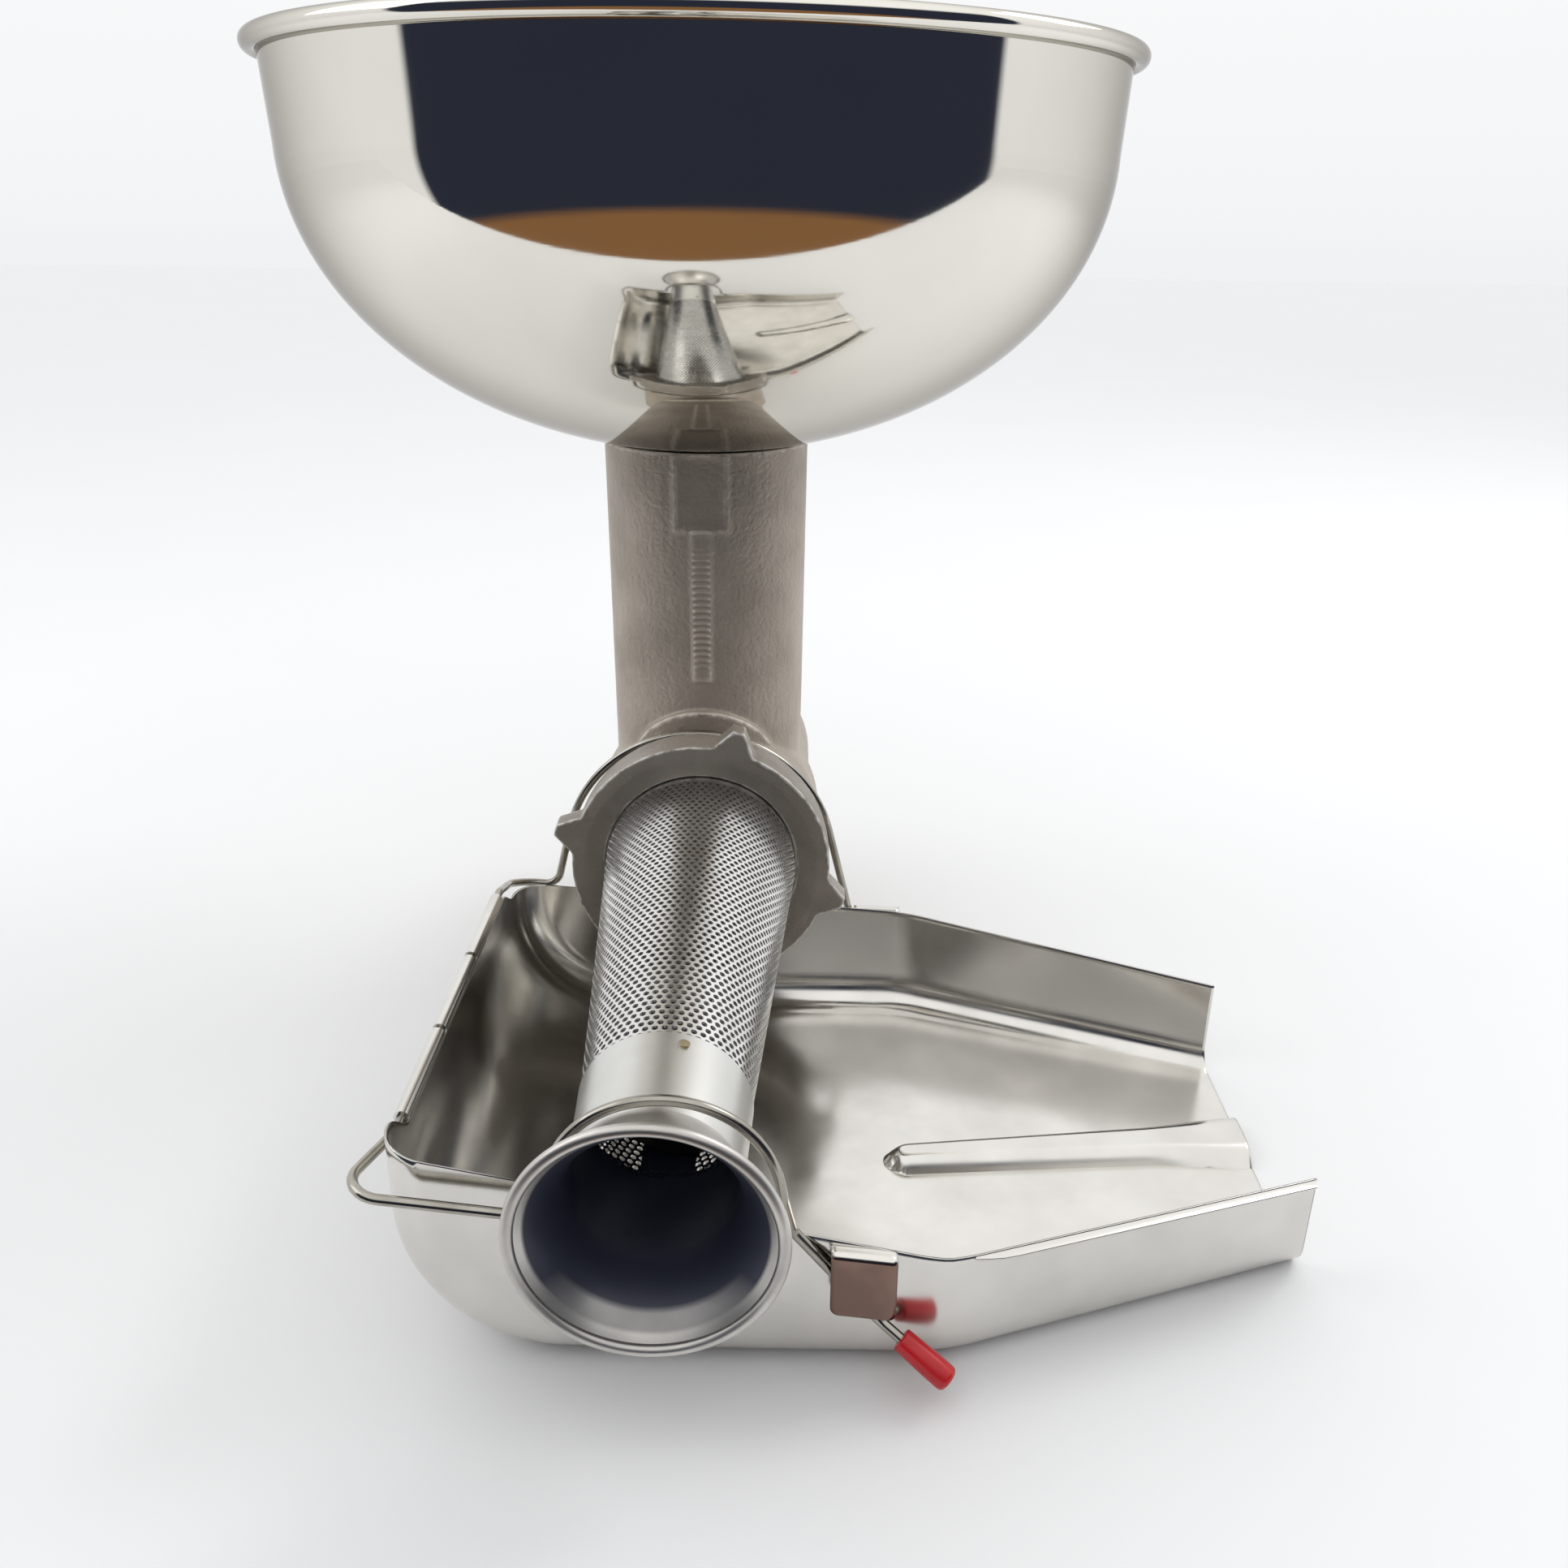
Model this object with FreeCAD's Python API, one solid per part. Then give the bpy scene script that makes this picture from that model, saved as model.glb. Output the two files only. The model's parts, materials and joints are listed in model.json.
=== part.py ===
"""Tomato milling head: hopper, cast body, strainer cone with bell outlet, drip tray and spring bail.

Millimetres, +Z up. The barrel's axis is the Y axis and the outlet points to -Y.
The origin is on that axis, at the shoulder that meets the motor.
"""
import math
import os

import FreeCAD
import Part

V = FreeCAD.Vector

# Hopper bowl
hopper_rim_r = 150.0
hopper_bead_r = 3.0
hopper_sheet = 1.0
hopper_wall_height = 29.0
hopper_wall_draft = 1.5
hopper_dish_depth = 100.8
spigot_length = 30.0
spigot_wall = 1.2
seat_gap = 0.3

# Cast body: vertical neck and horizontal barrel
neck_from_shoulder = 62.0
neck_r_top = 38.5
neck_r_base = 37.5
neck_bore_r = 31.0
neck_top_z = 152.0
barrel_r = 42.0
barrel_bore_r = 36.5
barrel_rear_wall = 16.0
barrel_collar_step = 3.5
collar_front_from_neck = 46.5
brow_top_z = 55.0
brow_arch_r = 29.0
brow_front_from_neck = 40.8
nose_r = 42.7
nose_length = 8.2
pad_width = 18.0
pad_height = 27.0
pad_below_top = 0.5
pad_depth = 1.3
strip_width = 6.6
strip_length = 58.0
strip_height = 0.8
motor_shoulder = 8.0
motor_spigot_length = 18.0
motor_spigot_wall = 5.0
dowel_r = 3.0
dowel_length = 8.0
dowel_seat = 7.0
trim_allowance = 2.0
overrun = 20.0

# Drive: shaft, bush, seal and feed screw
shaft_r = 11.0
running_gap = 0.05
bush_wall = 4.0
bush_flange_r = 19.0
bush_flange = 3.0
seal_r = 18.0
seal_length = 6.0
washer_r = 22.0
washer_thickness = 1.5
drive_square = 14.0
drive_square_length = 22.0
clip_r = 14.0
clip_thickness = 1.6
clip_groove = 1.0
clip_shoulder = 2.0
clip_opening = 7.4
screw_core_r_rear = 17.0
screw_core_r_front = 12.0
screw_gap = 1.2
screw_pitch = 36.0
flight_thickness = 4.5
flight_root_share = 0.7
shaft_nose_in_screw = 48.0
drive_pin_r = 3.0
drive_pin_short = 4.0

# Ring nut on the barrel's nose
nut_r = 49.3
nut_length = 15.0
nut_lip = 4.0
nut_gap = 0.3
nut_bevel_r = 44.5
nut_bevel_depth = 2.4
lug_count = 4
lug_tip_r = 57.0
lug_width = 11.0
lug_length = 9.0
lug_first_angle = 75.0
lug_root_share = 0.8
lug_shoulder_share = 0.62
lug_tip_share = 0.2
lug_shoulder_rise = 1.0

# Strainer: flange, cone, collar and bell outlet
strainer_sheet = 0.8
strainer_flange_thickness = 2.0
gasket_thickness = 1.5
face_gap = 0.1
cone_r_rear = 36.4
cone_r_front = 24.0
cone_length = 157.0
collar_lap = 4.0
collar_length = 32.7
collar_r_rear = 24.8
collar_r_front = 23.2
rivet_r = 1.6
rivet_head = 0.6
rivet_from_collar_edge = 5.0
rivet_angle = 76.0
flare_length = 24.4
flare_rim_r = 35.8
flare_bead_r = 1.7

# Drip tray
tray_sheet = 0.8
tray_left_from_collar = 29.0
tray_bend_from_tab = 0.7
spout_length = 115.0
tray_floor_z = -69.0
tray_rear_from_neck = 45.0
tray_depth = 193.5
tray_left_round = 48.0
tray_edge_round = 12.0
spout_end_half = 55.0
spout_edge_round = 9.0
rim_left_z = -8.0
rim_rear_left_z = -16.5
rim_front_left_z = 3.0
rim_rear_bend_z = -27.0
rim_front_bend_z = -30.0
rim_end_z = -34.0
rear_notch_gap = 1.2
front_notch_gap = 2.0
lip_width = 4.0
lip_from_bend = 8.0
lip_below_rim = 0.3
rib_length = 122.0
rib_tip_r = 6.0
rib_end_r = 13.0
rib_height = 6.0
rib_crown_share = 0.55
rib_tip_y_shift = -7.0
rib_end_y_shift = 6.0
tab_width = 18.0
tab_drop = 19.5
tab_corner_r = 3.0
tab_front_x = 55.5
tab_rear_from_arch = 18.5
curl_count = 3
curl_length = 43.0
curl_spacing = 45.0
curl_wall = 0.8
curl_from_wall = 0.1

# Spring-wire bail
wire_r = 1.5
wire_gap = 0.4
arch_gap = 0.3
rear_arch_spread = 6.8
rear_arch_x = -1.5
rear_leg_lean = 14.0
front_arch_r = 31.0
front_arch_x = 2.0
front_arch_gap = 1.2
front_leg_lean = 10.0
rear_run_drop = 10.0
front_run_drop = 4.1
bend_r = 6.0
corner_bend_r = 12.0
front_corner_bend_r = 9.0
front_corner_out = 8.35
front_corner_lift = 6.6
rear_corner_lift = 1.5
front_leg_drop = 5.0
front_knee_x = 35.9
front_knee_z = -18.0
front_straight_reach = 23.6
front_straight_drop = 29.9
front_end_reach = 18.4
front_end_drop = 11.3
front_end_flare = 9.6
rear_knee_below_rim = 2.5
rear_end_reach = 34.0
rear_end_drop = 38.0
rear_straight_share = 0.6
rear_end_flare = 8.0
tip_r = 3.75
tip_length = 17.0
tip_bore_gap = 0.02
tip_overhang = 2.0
tip_nose_r = 1.9

# Sizes that follow the barrel
barrel_collar_r = barrel_r + barrel_collar_step
motor_spigot_r = barrel_r - motor_shoulder
dowel_offset = motor_spigot_r + motor_shoulder / 2
rear_arch_r = barrel_collar_r + rear_arch_spread
tab_rear_x = rear_arch_x + rear_arch_r + tab_rear_from_arch
tray_left_x = -barrel_collar_r - tray_left_from_collar
tray_bend_x = tab_rear_x + tab_width / 2 + tray_bend_from_tab
tray_end_x = tray_bend_x + spout_length

# Stations along the barrel, from the shoulder towards the outlet
neck_y = -neck_from_shoulder
collar_front_y = neck_y - collar_front_from_neck
nose_front_y = collar_front_y - nose_length
gasket_front_y = nose_front_y - face_gap - gasket_thickness
flange_front_y = gasket_front_y - strainer_flange_thickness
nut_front_y = flange_front_y - face_gap - nut_lip
nut_rear_y = nut_front_y + nut_length
cone_front_y = flange_front_y - cone_length
collar_rear_y = cone_front_y + collar_lap
outlet_collar_front_y = collar_rear_y - collar_length
flare_front_y = outlet_collar_front_y - flare_length
rear_wall_y = -barrel_rear_wall
tray_rear_y = neck_y - tray_rear_from_neck
tray_front_y = tray_rear_y - tray_depth
tray_mid_y = (tray_rear_y + tray_front_y) / 2
tray_top_z = 40.0
tolerance = 1e-6

# Bowl levels
hopper_bead_ring_r = hopper_rim_r - hopper_bead_r
hopper_wall_r = hopper_bead_ring_r - hopper_bead_r + hopper_sheet
dish_r = hopper_wall_r - hopper_wall_draft
seat_ratio = math.sqrt(1 - (neck_r_top / dish_r) ** 2)
dish_centre_z = neck_top_z + seat_gap + hopper_dish_depth * seat_ratio
bead_z = dish_centre_z + hopper_wall_height


def save(shape, node):
    """Write one node as a STEP file."""
    shape.exportStep("parts/%s.step" % node)


def cylinder_y(r, y_from, y_to, x=0.0, z=0.0):
    """Solid cylinder along the barrel's direction between two stations."""
    low = min(y_from, y_to)
    return Part.makeCylinder(r, abs(y_to - y_from), V(x, low, z), V(0, 1, 0))


def tube_y(r_out, r_in, y_from, y_to):
    """Ring along the barrel's direction."""
    return cylinder_y(r_out, y_from, y_to).cut(cylinder_y(r_in, y_from, y_to))


def box(x_from, x_to, y_from, y_to, z_from, z_to):
    """Box between two corners."""
    return Part.makeBox(x_to - x_from, y_to - y_from, z_to - z_from, V(x_from, y_from, z_from))


def polygon(points):
    """Closed wire through points."""
    return Part.makePolygon([V(*p) for p in points] + [V(*points[0])])


def turned_y(points):
    """Solid of revolution about the barrel's axis from (radius, y) points."""
    face = Part.Face(polygon([(r, y, 0) for r, y in points]))
    return face.revolve(V(0, 0, 0), V(0, 1, 0), 360)


def bent_path(points, radii):
    """Wire of straight runs joined by tangent arcs, one radius for each inner point."""
    pts = [V(*p) for p in points]
    edges = []
    start = pts[0]
    for i, r in enumerate(radii, 1):
        back = (pts[i - 1] - pts[i]).normalize()
        ahead = (pts[i + 1] - pts[i]).normalize()
        half = back.getAngle(ahead) / 2
        cut = r / math.tan(half)
        first = pts[i] + back * cut
        last = pts[i] + ahead * cut
        axis = (back + ahead).normalize()
        middle = pts[i] + axis * (r / math.sin(half) - r)
        edges.append(Part.makeLine(start, first))
        edges.append(Part.Arc(first, middle, last).toShape())
        start = last
    edges.append(Part.makeLine(start, pts[-1]))
    return Part.Wire(edges)


def tube_along(path, r):
    """Round bar along a path."""
    first = path.Edges[0]
    start = first.valueAt(first.FirstParameter)
    direction = first.tangentAt(first.FirstParameter)
    section = Part.Wire(Part.makeCircle(r, start, direction))
    return path.makePipeShell([section], True, False)


def dish_profile(offset, bottom_r):
    """Bowl outline edges from the bottom hole to the wall's top, moved in by an offset."""
    r = dish_r - offset
    depth = hopper_dish_depth - offset
    ellipse = Part.Ellipse(V(0, neck_y, dish_centre_z), r, depth)
    arc_from = 2 * math.pi - math.acos(bottom_r / r)
    curve = Part.ArcOfEllipse(ellipse, arc_from, 2 * math.pi).toShape()
    curve.rotate(V(0, neck_y, dish_centre_z), V(1, 0, 0), 90)
    return curve


def bowl_shell():
    """Bowl with a spun dish, a nearly upright wall and a rolled bead."""
    hole_r = neck_bore_r - seat_gap - spigot_wall
    outer = dish_profile(0.0, hole_r)
    inner = dish_profile(hopper_sheet, hole_r)
    out_low, out_top = sorted([v.Point for v in outer.Vertexes], key=lambda p: p.z)
    in_low, in_top = sorted([v.Point for v in inner.Vertexes], key=lambda p: p.z)
    overlap = hopper_bead_r - hopper_sheet
    meet_z = bead_z - math.sqrt(hopper_bead_r ** 2 - overlap ** 2)
    wall_out = V(hopper_wall_r, neck_y, meet_z)
    wall_in = V(hopper_wall_r - hopper_sheet, neck_y, bead_z)
    bead_far = V(hopper_rim_r, neck_y, bead_z)
    edges = [
        outer,
        Part.makeLine(out_top, wall_out),
        Part.Arc(wall_out, bead_far, wall_in).toShape(),
        Part.makeLine(wall_in, in_top),
        inner,
        Part.makeLine(in_low, out_low),
    ]
    face = Part.Face(Part.Wire(Part.__sortEdges__(edges)))
    return face.revolve(V(0, neck_y, 0), V(0, 0, 1), 360)


def bowl_block(offset):
    """Solid of the dish's outside, grown by an offset, for cutting seats to it."""
    curve = dish_profile(-offset, 0.0)
    low, top = sorted([v.Point for v in curve.Vertexes], key=lambda p: p.z)
    axis_top = V(0, neck_y, top.z)
    edges = [curve, Part.makeLine(top, axis_top), Part.makeLine(axis_top, low)]
    face = Part.Face(Part.Wire(Part.__sortEdges__(edges)))
    return face.revolve(V(0, neck_y, 0), V(0, 0, 1), 360)


def spigot():
    """Tube under the bowl that enters the neck."""
    r = neck_bore_r - seat_gap
    low = neck_top_z - spigot_length
    tall = spigot_length + overrun
    tube = Part.makeCylinder(r, tall, V(0, neck_y, low))
    tube = tube.cut(Part.makeCylinder(r - spigot_wall, tall, V(0, neck_y, low)))
    return tube.cut(bowl_block(0.0))


def casting():
    """Neck, barrel, collar, nose, brow and motor spigot, in one casting."""
    neck = Part.makeCone(neck_r_base, neck_r_top, neck_top_z + trim_allowance, V(0, neck_y, 0))
    barrel = cylinder_y(barrel_r, 0, collar_front_y)
    collar = cylinder_y(barrel_collar_r, neck_y, collar_front_y)
    nose = cylinder_y(nose_r, collar_front_y, nose_front_y)
    brow = cylinder_y(brow_arch_r, neck_y, collar_front_y, 0.0, brow_top_z - brow_arch_r)
    brow = brow.common(Part.makeCylinder(brow_front_from_neck, brow_top_z, V(0, neck_y, 0)))
    spigot_body = cylinder_y(motor_spigot_r, 0, motor_spigot_length)
    solid = neck.fuse([barrel, collar, nose, brow, spigot_body])
    strip_top = neck_top_z - pad_below_top - pad_height
    strip = box(
        -strip_width / 2,
        strip_width / 2,
        neck_y - neck_r_top - strip_height / 2,
        neck_y,
        strip_top - strip_length,
        strip_top,
    )
    solid = solid.fuse(strip)
    pad_face_y = neck_y - neck_r_top + pad_depth
    pad_top = neck_top_z - pad_below_top
    pad = box(-pad_width / 2, pad_width / 2, pad_face_y - overrun, pad_face_y, pad_top - pad_height, pad_top)
    bush_r = shaft_r + bush_wall
    bores = [
        pad,
        bowl_block(seat_gap),
        Part.makeCylinder(neck_bore_r, neck_top_z + overrun, V(0, neck_y, 0)),
        cylinder_y(barrel_bore_r, rear_wall_y, nose_front_y),
        cylinder_y(bush_r, rear_wall_y, motor_spigot_length),
        cylinder_y(seal_r, rear_wall_y, rear_wall_y + seal_length),
        cylinder_y(motor_spigot_r - motor_spigot_wall, bush_flange, motor_spigot_length),
        cylinder_y(bush_flange_r, 0, bush_flange),
        cylinder_y(dowel_r, -dowel_seat, 0, dowel_offset),
    ]
    return solid.cut(bores).removeSplitter()


def rear_bush():
    """Flanged plain bearing, pushed in from the motor side."""
    inner = shaft_r + running_gap
    front = rear_wall_y + seal_length
    sleeve = tube_y(shaft_r + bush_wall, inner, front, bush_flange)
    return sleeve.fuse(tube_y(bush_flange_r, inner, 0, bush_flange)).removeSplitter()


def shaft_seal():
    """Ring seal between the barrel and the bush."""
    return tube_y(seal_r, shaft_r + running_gap, rear_wall_y, rear_wall_y + seal_length)


def thrust_washer():
    """Washer between the barrel's rear wall and the screw."""
    front = rear_wall_y - washer_thickness
    return tube_y(washer_r, shaft_r + running_gap, front, rear_wall_y)


def screw_rear_y():
    """Rear face of the feed screw."""
    return rear_wall_y - washer_thickness - face_gap


def screw_front_y():
    """Front end of the feed screw, behind the outlet collar."""
    return cone_front_y + collar_lap + 2 * screw_gap


def auger_shaft():
    """Round shaft with a square end for the motor and a groove for the clip."""
    rear = bush_flange + face_gap + clip_thickness + clip_shoulder
    shaft = cylinder_y(shaft_r, screw_rear_y() - shaft_nose_in_screw, rear)
    half = drive_square / 2
    square = box(-half, half, rear, rear + drive_square_length, -half, half)
    groove_y = bush_flange + face_gap
    groove = tube_y(shaft_r + trim_allowance, shaft_r - clip_groove, groove_y, groove_y + clip_thickness)
    pin = cylinder_z(drive_pin_r, pin_y(), 2 * screw_core_r_rear)
    return shaft.fuse(square).cut(groove).cut(pin)


def pin_y():
    """Station of the cross pin."""
    return screw_rear_y() - shaft_nose_in_screw / 2


def cylinder_z(r, y, length):
    """Upright cylinder through the barrel's axis."""
    return Part.makeCylinder(r, length, V(0, y, -length / 2))


def drive_pin():
    """Cross pin, shorter than the screw's core is wide."""
    return cylinder_z(drive_pin_r, pin_y(), 2 * screw_core_r_rear - drive_pin_short)


def retaining_clip():
    """Open snap ring in the shaft's groove."""
    groove_y = bush_flange + face_gap
    ring = tube_y(clip_r, shaft_r - clip_groove, groove_y, groove_y + clip_thickness)
    half = clip_opening / 2
    return ring.cut(box(-half, half, groove_y, groove_y + clip_thickness, 0, clip_r))


def cone_radius(y):
    """Outside radius of the strainer cone at a station."""
    share = (flange_front_y - y) / cone_length
    return cone_r_rear + (cone_r_front - cone_r_rear) * share


def feed_screw():
    """Feed screw: tapered core with one helical flight that narrows towards the outlet."""
    rear = screw_rear_y()
    front = screw_front_y()
    barrel_flight_r = barrel_bore_r - screw_gap
    cone_gap = strainer_sheet + screw_gap
    core = turned_y(
        [(0, rear), (screw_core_r_rear, rear), (screw_core_r_front, front), (0, front)]
    )
    sweep_r = barrel_flight_r + trim_allowance
    envelope = Part.makeCone(barrel_flight_r, cone_radius(front) - cone_gap, rear - front)
    inner_r = screw_core_r_front * flight_root_share
    length = rear - front
    helix = Part.makeHelix(screw_pitch, length - flight_thickness, barrel_flight_r)
    half = flight_thickness / 2
    section = polygon(
        [
            (inner_r, 0, -half),
            (sweep_r, 0, -half),
            (sweep_r, 0, half),
            (inner_r, 0, half),
        ]
    )
    sweep = Part.BRepOffsetAPI.MakePipeShell(helix)
    sweep.setBiNormalMode(V(0, 0, 1))
    sweep.add(section)
    sweep.build()
    sweep.makeSolid()
    flight = sweep.shape()
    flight.translate(V(0, 0, half))
    flight = flight.common(envelope)
    flight.rotate(V(0, 0, 0), V(1, 0, 0), 90)
    flight.translate(V(0, rear, 0))
    screw = core.fuse(flight).removeSplitter()
    shaft_bore = cylinder_y(shaft_r + running_gap, rear, rear - shaft_nose_in_screw - face_gap)
    return screw.cut(shaft_bore).cut(drive_pin())


def ring_nut():
    """Lugged ring nut with a bevelled mouth."""
    mouth_r = cone_r_rear + nut_gap
    bore_r = nose_r + nut_gap
    lip_rear_y = nut_front_y + nut_lip
    bevel_y = nut_front_y + nut_bevel_depth
    ring = turned_y(
        [
            (bore_r, nut_rear_y),
            (nut_r, nut_rear_y),
            (nut_r, nut_front_y),
            (nut_bevel_r, nut_front_y),
            (mouth_r, bevel_y),
            (mouth_r, lip_rear_y),
            (bore_r, lip_rear_y),
        ]
    )
    lugs = []
    root = bore_r + (nut_r - bore_r) / 2
    for i in range(lug_count):
        points = [
            (root, nut_front_y, -lug_width * lug_root_share),
            (nut_r + lug_shoulder_rise, nut_front_y, -lug_width * lug_shoulder_share),
            (lug_tip_r, nut_front_y, -lug_width * lug_tip_share),
            (lug_tip_r, nut_front_y, lug_width * lug_tip_share),
            (nut_r + lug_shoulder_rise, nut_front_y, lug_width * lug_shoulder_share),
            (root, nut_front_y, lug_width * lug_root_share),
        ]
        lug = Part.Face(polygon(points)).extrude(V(0, lug_length, 0))
        lug.rotate(V(0, 0, 0), V(0, -1, 0), lug_first_angle + i * 360 / lug_count)
        lugs.append(lug)
    return ring.fuse(lugs).removeSplitter()


def strainer_flange():
    """Flat ring that the nut clamps."""
    return tube_y(nose_r - nut_gap, cone_r_rear - strainer_sheet, gasket_front_y, flange_front_y)


def strainer_gasket():
    """Flat seal behind the flange."""
    return tube_y(nose_r - nut_gap, barrel_bore_r, gasket_front_y + gasket_thickness, gasket_front_y)


def strainer_cone():
    """Conical strainer wall."""
    sheet = strainer_sheet
    return turned_y(
        [
            (cone_r_rear - sheet, flange_front_y),
            (cone_r_rear, flange_front_y),
            (cone_r_front, cone_front_y),
            (cone_r_front - sheet, cone_front_y),
        ]
    )


def outlet_collar():
    """Plain collar lapped over the strainer's small end."""
    sheet = strainer_sheet
    lap_r = cone_radius(collar_rear_y)
    bore_front = collar_r_front - sheet
    return turned_y(
        [
            (lap_r, collar_rear_y),
            (max(collar_r_rear, lap_r + sheet / 2), collar_rear_y),
            (collar_r_front, outlet_collar_front_y),
            (bore_front, outlet_collar_front_y),
            (bore_front, cone_front_y),
            (cone_r_front, cone_front_y),
        ]
    )


def collar_rivet():
    """Rivet heads on the collar's lap, on its upper and lower sides."""
    station = collar_rear_y - rivet_from_collar_edge
    share = rivet_from_collar_edge / collar_length
    surface_r = collar_r_rear + (collar_r_front - collar_r_rear) * share
    heads = []
    for turn in (rivet_angle, rivet_angle + 180):
        head = Part.makeCylinder(rivet_r, rivet_head + strainer_sheet / 2, V(0, station, 0), V(1, 0, 0))
        head.translate(V(surface_r - strainer_sheet / 2, 0, 0))
        head.rotate(V(0, 0, 0), V(0, -1, 0), turn)
        heads.append(head.cut(outlet_collar()))
    return Part.makeCompound(heads)


def outlet_flare():
    """Bell mouth, an arc that starts in line with the collar, with a rolled rim."""
    sheet = strainer_sheet
    start_y = outlet_collar_front_y
    end_y = flare_front_y + flare_bead_r
    end_r = flare_rim_r - flare_bead_r
    run = start_y - end_y
    rise = end_r - collar_r_front
    arc_r = (run ** 2 + rise ** 2) / (2 * rise)
    turn = math.asin(run / arc_r)
    centre_r = collar_r_front + arc_r

    def on_arc(r, angle):
        return V(centre_r - r * math.cos(angle), start_y - r * math.sin(angle), 0)

    inner_r = arc_r + sheet
    edges = [
        Part.Arc(on_arc(arc_r, 0), on_arc(arc_r, turn / 2), on_arc(arc_r, turn)).toShape(),
        Part.makeLine(on_arc(arc_r, turn), on_arc(inner_r, turn)),
        Part.Arc(on_arc(inner_r, turn), on_arc(inner_r, turn / 2), on_arc(inner_r, 0)).toShape(),
        Part.makeLine(on_arc(inner_r, 0), on_arc(arc_r, 0)),
    ]
    face = Part.Face(Part.Wire(edges))
    bell = face.revolve(V(0, 0, 0), V(0, 1, 0), 360)
    bead = Part.makeTorus(end_r, flare_bead_r, V(0, end_y, 0), V(0, 1, 0))
    return bell.fuse(bead).removeSplitter()


def pan_block(inset):
    """Pan of the tray as a solid: big round on the left, rounded along both end plates."""
    left = tray_left_x + inset
    floor = tray_floor_z + inset
    rear = tray_rear_y - inset
    depth = tray_depth - 2 * inset
    round_r = tray_left_round - inset
    edge_r = tray_edge_round - inset
    diagonal = round_r * (1 - math.sqrt(0.5))
    wire = Part.Wire(
        [
            Part.makeLine(V(tray_bend_x, rear, tray_top_z), V(left, rear, tray_top_z)),
            Part.makeLine(V(left, rear, tray_top_z), V(left, rear, floor + round_r)),
            Part.Arc(
                V(left, rear, floor + round_r),
                V(left + diagonal, rear, floor + diagonal),
                V(left + round_r, rear, floor),
            ).toShape(),
            Part.makeLine(V(left + round_r, rear, floor), V(tray_bend_x, rear, floor)),
            Part.makeLine(V(tray_bend_x, rear, floor), V(tray_bend_x, rear, tray_top_z)),
        ]
    )
    solid = Part.Face(wire).extrude(V(0, -depth, 0))
    rounded = []
    for edge in solid.Edges:
        on_plate = edge.BoundBox.YLength < tolerance
        on_top = edge.BoundBox.ZMin > tray_top_z - tolerance
        on_bend = edge.BoundBox.XMin > tray_bend_x - tolerance
        if on_plate and not on_top and not on_bend:
            rounded.append(edge)
    return solid.makeFillet(edge_r, rounded)


def channel_section(x, half, floor, edge_r):
    """Closed wire across the spout: two walls, a floor and two rounded corners."""
    low = floor
    rear = tray_mid_y + half
    front = tray_mid_y - half
    bulge = edge_r * (1 - math.sqrt(0.5))
    return Part.Wire(
        [
            Part.makeLine(V(x, rear, tray_top_z), V(x, rear, low + edge_r)),
            Part.Arc(
                V(x, rear, low + edge_r),
                V(x, rear - bulge, low + bulge),
                V(x, rear - edge_r, low),
            ).toShape(),
            Part.makeLine(V(x, rear - edge_r, low), V(x, front + edge_r, low)),
            Part.Arc(
                V(x, front + edge_r, low),
                V(x, front + bulge, low + bulge),
                V(x, front, low + edge_r),
            ).toShape(),
            Part.makeLine(V(x, front, low + edge_r), V(x, front, tray_top_z)),
            Part.makeLine(V(x, front, tray_top_z), V(x, rear, tray_top_z)),
        ]
    )


def spout_block(inset, past_end):
    """Spout as a solid that narrows from the bend to its open end."""
    half = tray_depth / 2
    slope = (half - spout_end_half) / (tray_end_x - tray_bend_x)
    end_x = tray_end_x + past_end
    end_half = spout_end_half - slope * past_end
    floor = tray_floor_z + inset
    near = channel_section(tray_bend_x, half - inset, floor, tray_edge_round - inset)
    far = channel_section(end_x, end_half - inset, floor, spout_edge_round - inset)
    return Part.makeLoft([near, far], True, True)


def rim_cutter():
    """Everything above the tray's rim, which falls towards the spout."""
    reach = tray_end_x + overrun
    stations = [
        (tray_rear_y + overrun, rim_rear_left_z, rim_rear_bend_z),
        (tray_rear_y - tray_edge_round, rim_rear_left_z, rim_rear_bend_z),
        (tray_mid_y + curl_half(), rim_left_z, rim_rear_bend_z),
        (tray_mid_y - curl_half(), rim_left_z, rim_front_bend_z),
        (tray_front_y + tray_edge_round, rim_front_left_z, rim_front_bend_z),
        (tray_front_y - overrun, rim_front_left_z, rim_front_bend_z),
    ]
    wires = []
    for y, left_z, bend_z in stations:
        end_z = bend_z + (rim_end_z - bend_z) * (reach - tray_bend_x) / (tray_end_x - tray_bend_x)
        wires.append(
            polygon(
                [
                    (tray_left_x - overrun, y, left_z),
                    (tray_left_x, y, left_z),
                    (tray_bend_x, y, bend_z),
                    (reach, y, end_z),
                    (reach, y, tray_top_z + overrun),
                    (tray_left_x - overrun, y, tray_top_z + overrun),
                ]
            )
        )
    return Part.makeLoft(wires, True, True)


def curl_half():
    """Half the length of the curled rim."""
    return (curl_count - 1) * curl_spacing / 2 + curl_length / 2


def hinge_x():
    """Axis of the bail in the curled rim, just outside the left wall."""
    return tray_left_x - wire_r - running_gap - curl_from_wall


def curls():
    """Curled rim pieces, tubes around the bail's straight run."""
    r_in = wire_r + running_gap
    r_out = r_in + curl_wall
    tubes = []
    for i in range(curl_count):
        mid = tray_mid_y + (i - (curl_count - 1) / 2) * curl_spacing
        tubes.append(cylinder_y(r_out, mid - curl_length / 2, mid + curl_length / 2, hinge_x(), rim_left_z))
    return tubes


def rim_height(x, bend_z, left_z):
    """Rim height on an end plate."""
    share = (x - tray_left_x) / (tray_bend_x - tray_left_x)
    return left_z + (bend_z - left_z) * share


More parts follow.
